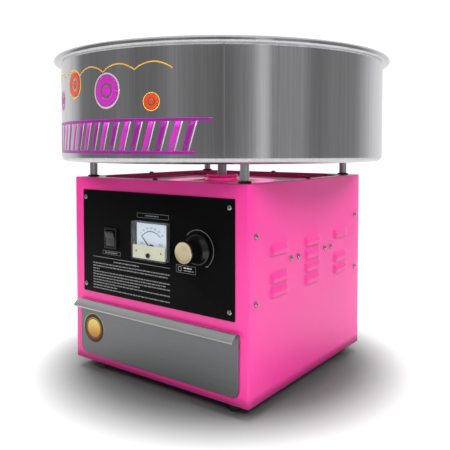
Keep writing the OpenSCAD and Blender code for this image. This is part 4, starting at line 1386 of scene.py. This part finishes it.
def knob_pointer():
    """White line down the side of the grip and along the cone, at the knob's zero."""
    tangent = np.array([-math.sin(ZERO_MARK), math.cos(ZERO_MARK), 0])
    radial = np.array([math.cos(ZERO_MARK), math.sin(ZERO_MARK), 0])
    out = np.array([0, 0, 1])
    spot = placed(plate(0.0011, 0.0030, 0.0004, [(0, 0.0), (0, 0.0003)], steps=3),
                  radial * 0.0187 + out * 0.0026, np.column_stack([tangent, radial, out]))
    line = placed(plate(0.0011, 0.0100, 0.0004, [(0, 0.0), (0, 0.0002)], steps=3),
                  radial * 0.01495 + out * (knob_out - 0.0078), np.column_stack([tangent, out, radial]))
    return [spot, line]


piece("knob_mark", [placed(shell, knob_at, TO_FRONT) for shell in knob_pointer()], "control_knob",
      "knob_plastic", finishes=[white_ink])

# %% [markdown]
# ## The drawer
#
# The drawer catches the sugar that falls past the head. Its front is one sheet with round lower
# corners, and its top edge bends outwards and down into a pull lip with a small hem. It could
# be bent with modifiers, but one section and one width at each height say all of it. Across the
# sheet the points run from side to side, and up the sheet they follow the section of the bend.

# %% Drawer front
front_low, front_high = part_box("drawer_front")
FRONT_HALF = front_high.x
FRONT_R = 0.012
FRONT_T = 0.0015
FRONT_Y = front_high.y - FRONT_T
LIP_REACH = FRONT_Y - front_low.y
CORNER_ROWS = 9
FACE_ROWS = CORNER_ROWS + 5


def front_path():
    """Section (out, up) from the lower edge to the hem: flat, bend, short ledge, slope, hem."""
    top = front_high.z
    low = front_low.z
    corner = low + FRONT_R * (1 - np.cos(np.radians(np.linspace(0, 90, CORNER_ROWS))))
    flat = np.column_stack([np.zeros(CORNER_ROWS), corner])
    slope_end = (LIP_REACH - 0.0006, top - 0.0068)
    return line_of(flat, (0.0, low + 0.030), (0.0, low + 0.055), (0.0, top - 0.004),
                   arc((0.0018, top - 0.0018), 0.0018, 180, 90, 6), (0.0040, top),
                   arc((0.0045, top - 0.0020), 0.0020, 80, 40, 4), slope_end,
                   arc((LIP_REACH - 0.0012, top - 0.0078), 0.0010, 30, -120, 6))


def front_sheet():
    """Face and lip as two grids: at height z the half width is less by R - sqrt(R^2 - d^2)."""
    section = front_path()
    depth = np.clip(FRONT_R - (section[:, 1] - front_low.z), 0, FRONT_R)
    half = FRONT_HALF - FRONT_R + np.sqrt(FRONT_R ** 2 - depth ** 2)
    across = np.concatenate([[-1, -0.992], np.linspace(-0.9, 0.9, 25), [0.992, 1]])
    x = half[:, None] * across
    y = FRONT_Y - section[:, :1] + 0 * across
    z = section[:, 1:] + 0 * across
    grid = np.stack([x, y, z], -1)
    # The lip's grid takes the second finish, the lighter steel that carries the painted sheen of the lip.
    return [sheet(grid[:FACE_ROWS]), sheet(grid[FACE_ROWS - 1:], 1)]


piece("drawer_face", front_sheet(), "drawer", "drawer_steel", ["drawer_front"],
      [drawer_steel, lip_steel], gauge=FRONT_T * 0.8, crease=50)

# %% [markdown]
# ## The round sticker
#
# A plain gold seal sits at the left of the drawer, as makers put on new machines. Its rings
# could each be a piece, but they are printed on one film, so they are drawn by its material:
# they depend only on the distance from its centre, and the gold deepens towards the bottom.

# %% Sticker
STICKER_AT = (-0.121, FRONT_Y, 0.068)
STICKER_R = 0.0225


def seal_finish():
    """Dark ring, thin gold lines and a gold centre that shades to orange."""
    made, f = material("gold_seal")
    radius = f.distance(STICKER_AT, (1, 0, 1)) * (1.0 / STICKER_R)
    height = f.node("ShaderNodeSeparateXYZ", {}, {0: f.moved(shift=(0, 0, -STICKER_AT[2]))}, 2)
    gold = f.mix((height * 30.0 + 0.5).above(0.5, 1.0), srgb(190, 110, 30), srgb(226, 206, 104))
    brown = srgb(52, 30, 34)
    edge = radius.above(0.62, 0.03) * (1.0 - radius.above(0.97, 0.02))
    line = radius.above(0.68, 0.02) * (1.0 - radius.above(0.72, 0.02))
    speck = f.noise(900.0, 2.0).above(0.6, 0.2)
    ringed = f.mix(edge * (1.0 - 0.7 * line), gold, brown)
    f.output(f.shader(f.mix(0.15 * speck, ringed, brown), 0.28 + 0.1 * speck, 0.25, height=speck,
                      depth=0.00001))
    return made


def seal():
    """Thin disc, then a raised inner disc with a soft edge."""
    base = turned(line_of((STICKER_R, 0.0), (STICKER_R, 0.00015), (STICKER_R - 0.0002, 0.0002),
                          (0.0001, 0.0002)), 72)
    ridge = turned(line_of((0.0158, 0.0001), (0.0156, 0.0003), (0.0150, 0.0003), (0.0148, 0.0001)),
                   72, closed=True)
    return [placed(shell, STICKER_AT, TO_FRONT) for shell in (base, ridge)]


piece("drawer_seal", seal(), "drawer", "drawer_steel", finishes=[seal_finish()])

# %% [markdown]
# ## The spinner
#
# The head spins in the middle of the bowl and throws out the melted sugar: a base, a slotted
# band, a cap with a funnel lip and a heater inside. They are lathe parts, so each is a turned
# section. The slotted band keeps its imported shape, because its slots need their real edges.

# %% Spinner head and shaft
shaft_low, shaft_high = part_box("spinner_shaft")
hub_low, hub_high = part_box("head_hub")
base_low, base_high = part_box("head_base")
cap_low, cap_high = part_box("head_cap")
heater_low, heater_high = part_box("heater_ring")
HEAD_R = base_high.x
WALL = 0.003

shaft_section = line_of((0.004, shaft_low.z), (0.0075, shaft_low.z), (0.0075, shaft_high.z),
                        (0.004, shaft_high.z))
hub_section = line_of((0.0076, hub_low.z), (0.0165, hub_low.z), (0.017, hub_low.z + 0.0005),
                      (0.017, hub_high.z - 0.005), (0.018, hub_high.z - 0.004),
                      (0.0295, hub_high.z - 0.0036), (0.030, hub_high.z - 0.003),
                      (0.030, hub_high.z), (0.0076, hub_high.z))
base_section = line_of((0.0001, base_low.z), (HEAD_R - 0.001, base_low.z),
                       arc((HEAD_R - 0.001, base_low.z + 0.001), 0.001, -90, 0, 4),
                       (HEAD_R, base_low.z + 0.0085), (HEAD_R - 0.0005, base_low.z + 0.009),
                       (HEAD_R - WALL, base_low.z + 0.009), (HEAD_R - WALL, base_low.z + WALL),
                       (0.013, base_low.z + WALL), (0.0045, base_high.z - 0.0008),
                       (0.0035, base_high.z), (0.0001, base_high.z))
cap_top = cap_high.z - 0.008
SUGAR_R = 0.030
head_cap_section = line_of(
    (SUGAR_R, cap_top - WALL), (SUGAR_R, cap_high.z - 0.0005), (SUGAR_R + 0.0008, cap_high.z),
    (SUGAR_R + 0.0018, cap_high.z), (SUGAR_R + 0.0024, cap_high.z - 0.0006),
    (SUGAR_R + 0.0025, cap_top + 0.0015), (SUGAR_R + 0.004, cap_top),
    (HEAD_R - 0.0016, cap_top), arc((HEAD_R - 0.0016, cap_top - 0.0016), 0.0016, 90, 0, 5),
    (HEAD_R, cap_low.z), (HEAD_R - WALL, cap_low.z), (HEAD_R - WALL, cap_top - WALL))
piece("shaft", [turned(shaft_section, 48, closed=True)], "spinner", "post_steel", ["spinner_shaft"])
piece("hub", [turned(hub_section, 48, closed=True)], "spinner", "motor_alloy", ["head_hub"])
piece("head_pan", [turned(base_section, 128)], "spinner", "head_alloy", ["head_base"])
piece("head_lid", [turned(head_cap_section, 128, closed=True)], "spinner", "head_alloy",
      ["head_cap"])
head_screw_r = HEAD_R - 0.0085
head_heads = [placed(spun(screw_head(0.0032, 0.0022)), round_axis(head_screw_r, turn, cap_top))
              for turn in np.radians([45, 135, 225, 315])]
piece("head_screw_heads", head_heads, "spinner", "chrome_screw", ["head_screws"])

# %% [markdown]
# ### The heater
#
# The heater is a ribbon of resistance metal pleated into a ring. An Array of one pleat would
# leave seams, so the whole ribbon is one formula: its radius swings in and out as it goes round,
# r = R + a sin(n angle), and a second surface half a millimetre inside gives its thickness.


# %% Heater ribbon
def heater_ribbon():
    """Pleated band inside the ring's space, with four legs under it."""
    outer = heater_high.x
    mean = outer - 0.0010
    angle = np.linspace(0, 2 * np.pi, 720, endpoint=False)
    radius = mean + 0.0007 * np.sin(60 * angle)
    height = np.linspace(heater_low.z + 0.006, heater_high.z, 4)[:, None]
    inner = radius - 0.0005
    rings = np.concatenate([round_axis(radius, angle, height),
                            round_axis(inner, angle, height[::-1])])
    leg = turned(line_of((0.0025, heater_low.z), (0.0025, heater_low.z + 0.0065)), 20)
    feet = [round_axis(mean, turn, 0.0) for turn in np.radians([0, 90, 180, 270])]
    return [skin(rings, closed=True), *[placed(leg, foot) for foot in feet]]


piece("heater", heater_ribbon(), "spinner", "heater_metal", ["heater_ring"])

# %% [markdown]
# ## Studio
#
# The machine stands on a white floor under a large soft light. Polished steel shows the room:
# a bright background behind it, grey flats and darker gaps round the camera. So the world is a
# row of upright flats, given as brightness by direction, with a bright ceiling over them. The
# lights that shape the paint are hidden from reflections, which would otherwise show as spots.
# The floor glows only beyond a painted shadow: within a set radius of the machine's axis it has no glow, and its
# own colour is near black, so a dark disc stands for the machine's shadow and the floor runs into the background
# without a horizon.

# %% Floor, world and lights
FLATS = [(-180, 0.82), (-171, 0.72), (-164, 0.27), (-143, 0.22), (-123, 0.28), (-111, 0.21),
         (-96, 0.22), (-84, 0.34), (-72, 0.22), (-60, 0.21), (-52, 0.17), (-44, 0.24), (-33, 0.36),
         (-28, 0.85), (-24, 0.85), (-20, 0.24), (-14, 0.40), (0, 0.40), (10, 0.22), (24, 0.28),
         (48, 0.30), (60, 0.60), (78, 0.95), (180, 0.90)]
MACHINE_MIDDLE = Vector((0, 0, 0.22))
FLOOR_R = 1.45
# Radius of the painted shadow disc on the floor, and the width of its soft edge.
SHADOW_R = 0.28
SHADOW_SOFT = 0.17
GLOW_SHARE = 0.6
BLACK = (0.0, 0.0, 0.0, 1.0)
WHITE = (1.0, 1.0, 1.0, 1.0)


def studio():
    """World light by kind of ray: reflections see the flats by azimuth, which fade into a
    bright ceiling with height; the paint gets an even dim light; behind all is plain white."""
    world = bpy.data.worlds.new("studio")
    world.use_nodes = True
    bpy.context.scene.world = world
    f = Finish(world.node_tree)
    view = f.node("ShaderNodeTexCoord", output="Generated")
    parts = [f.node("ShaderNodeSeparateXYZ", {}, {0: view}, axis) for axis in range(3)]
    turn = parts[1].maths("ARCTAN2", parts[0]) * (0.5 / math.pi) + 0.5
    stops = [((angle + 180) / 360, (level, level, level, 1.0)) for angle, level in FLATS]
    flats = f.ramp(turn, stops)
    ceiling = parts[2].above(0.74, 0.34)
    colour = f.mix(ceiling, flats, (0.95, 0.95, 0.97, 1.0))
    mirrored = f.node("ShaderNodeBackground", {}, {"Color": colour, "Strength": 1.0})
    ambient = f.node("ShaderNodeBackground", {}, {"Color": WHITE, "Strength": 0.12})
    white = f.node("ShaderNodeBackground", {}, {"Color": WHITE, "Strength": 1.1})
    diffuse = f.node("ShaderNodeLightPath", {}, {}, "Is Diffuse Ray")
    seen = f.node("ShaderNodeLightPath", {}, {}, "Is Camera Ray")
    indirect = f.node("ShaderNodeMixShader", {}, {0: diffuse, 1: mirrored, 2: ambient})
    mixed = f.node("ShaderNodeMixShader", {}, {0: seen, 1: indirect, 2: white})
    f.node("ShaderNodeOutputWorld", {}, {"Surface": mixed})


def soft_box(name, at, size, power):
    """Square area light that looks at the machine's middle and isn't seen in reflections."""
    data = bpy.data.lights.new(name, "AREA")
    data.size = size
    data.energy = power
    lamp = bpy.data.objects.new(name, data)
    lamp.location = at
    aim = MACHINE_MIDDLE - Vector(at)
    lamp.rotation_euler = aim.to_track_quat("-Z", "Y").to_euler()
    lamp.visible_glossy = False
    bpy.context.scene.collection.objects.link(lamp)


def white_floor():
    """Round matt floor, near black, with a painted shadow: it has no glow within SHADOW_R of the axis, its glow
    comes in over a width of SHADOW_SOFT, and the machine gets only a part of it, as light and in reflections."""
    mesh = bpy.data.meshes.new("floor")
    around = np.linspace(0, 2 * np.pi, 96, endpoint=False)
    mesh.from_pydata(round_axis(FLOOR_R, around, 0.0).tolist(), [], [list(range(len(around)))])
    made, f = material("floor_white")
    # The glow mask is 0 within SHADOW_R of the axis: a painted shadow disc round the machine, not one that the
    # lights cast.
    far = f.distance((0.0, 0.0, 0.0)).above(SHADOW_R, SHADOW_SOFT)
    seen = f.node("ShaderNodeLightPath", {}, {}, "Is Camera Ray")
    glow = f.mix(far * (seen * (1 - GLOW_SHARE) + GLOW_SHARE), BLACK, WHITE)
    # The floor's own colour is near black, so that the disc without glow reads as the machine's shadow.
    tone = f.mix(f.noise(3.0), (0.10, 0.10, 0.10, 1.0), (0.11, 0.11, 0.11, 1.0))
    f.output(f.shader(tone, 0.8, Emission_Color=glow, Emission_Strength=1.0,
                      Specular_IOR_Level=0.1))
    mesh.materials.append(made)
    floor = bpy.data.objects.new("floor", mesh)
    bpy.context.scene.collection.objects.link(floor)


studio()
white_floor()
soft_box("ceiling", (0.0, 0.0, 2.2), 1.4, 265)
soft_box("right_fill", (1.6, -0.1, 1.60), 0.7, 33)
soft_box("front_fill", (-0.2, -1.6, 1.55), 0.7, 31)
soft_box("low_fill", (1.6, -1.0, 0.34), 0.5, 6)
soft_box("back_fill", (-1.2, 1.7, 1.30), 0.7, 26)
bpy.context.scene.view_settings.view_transform = "Standard"
print(len(FLATS), "flats round the room")
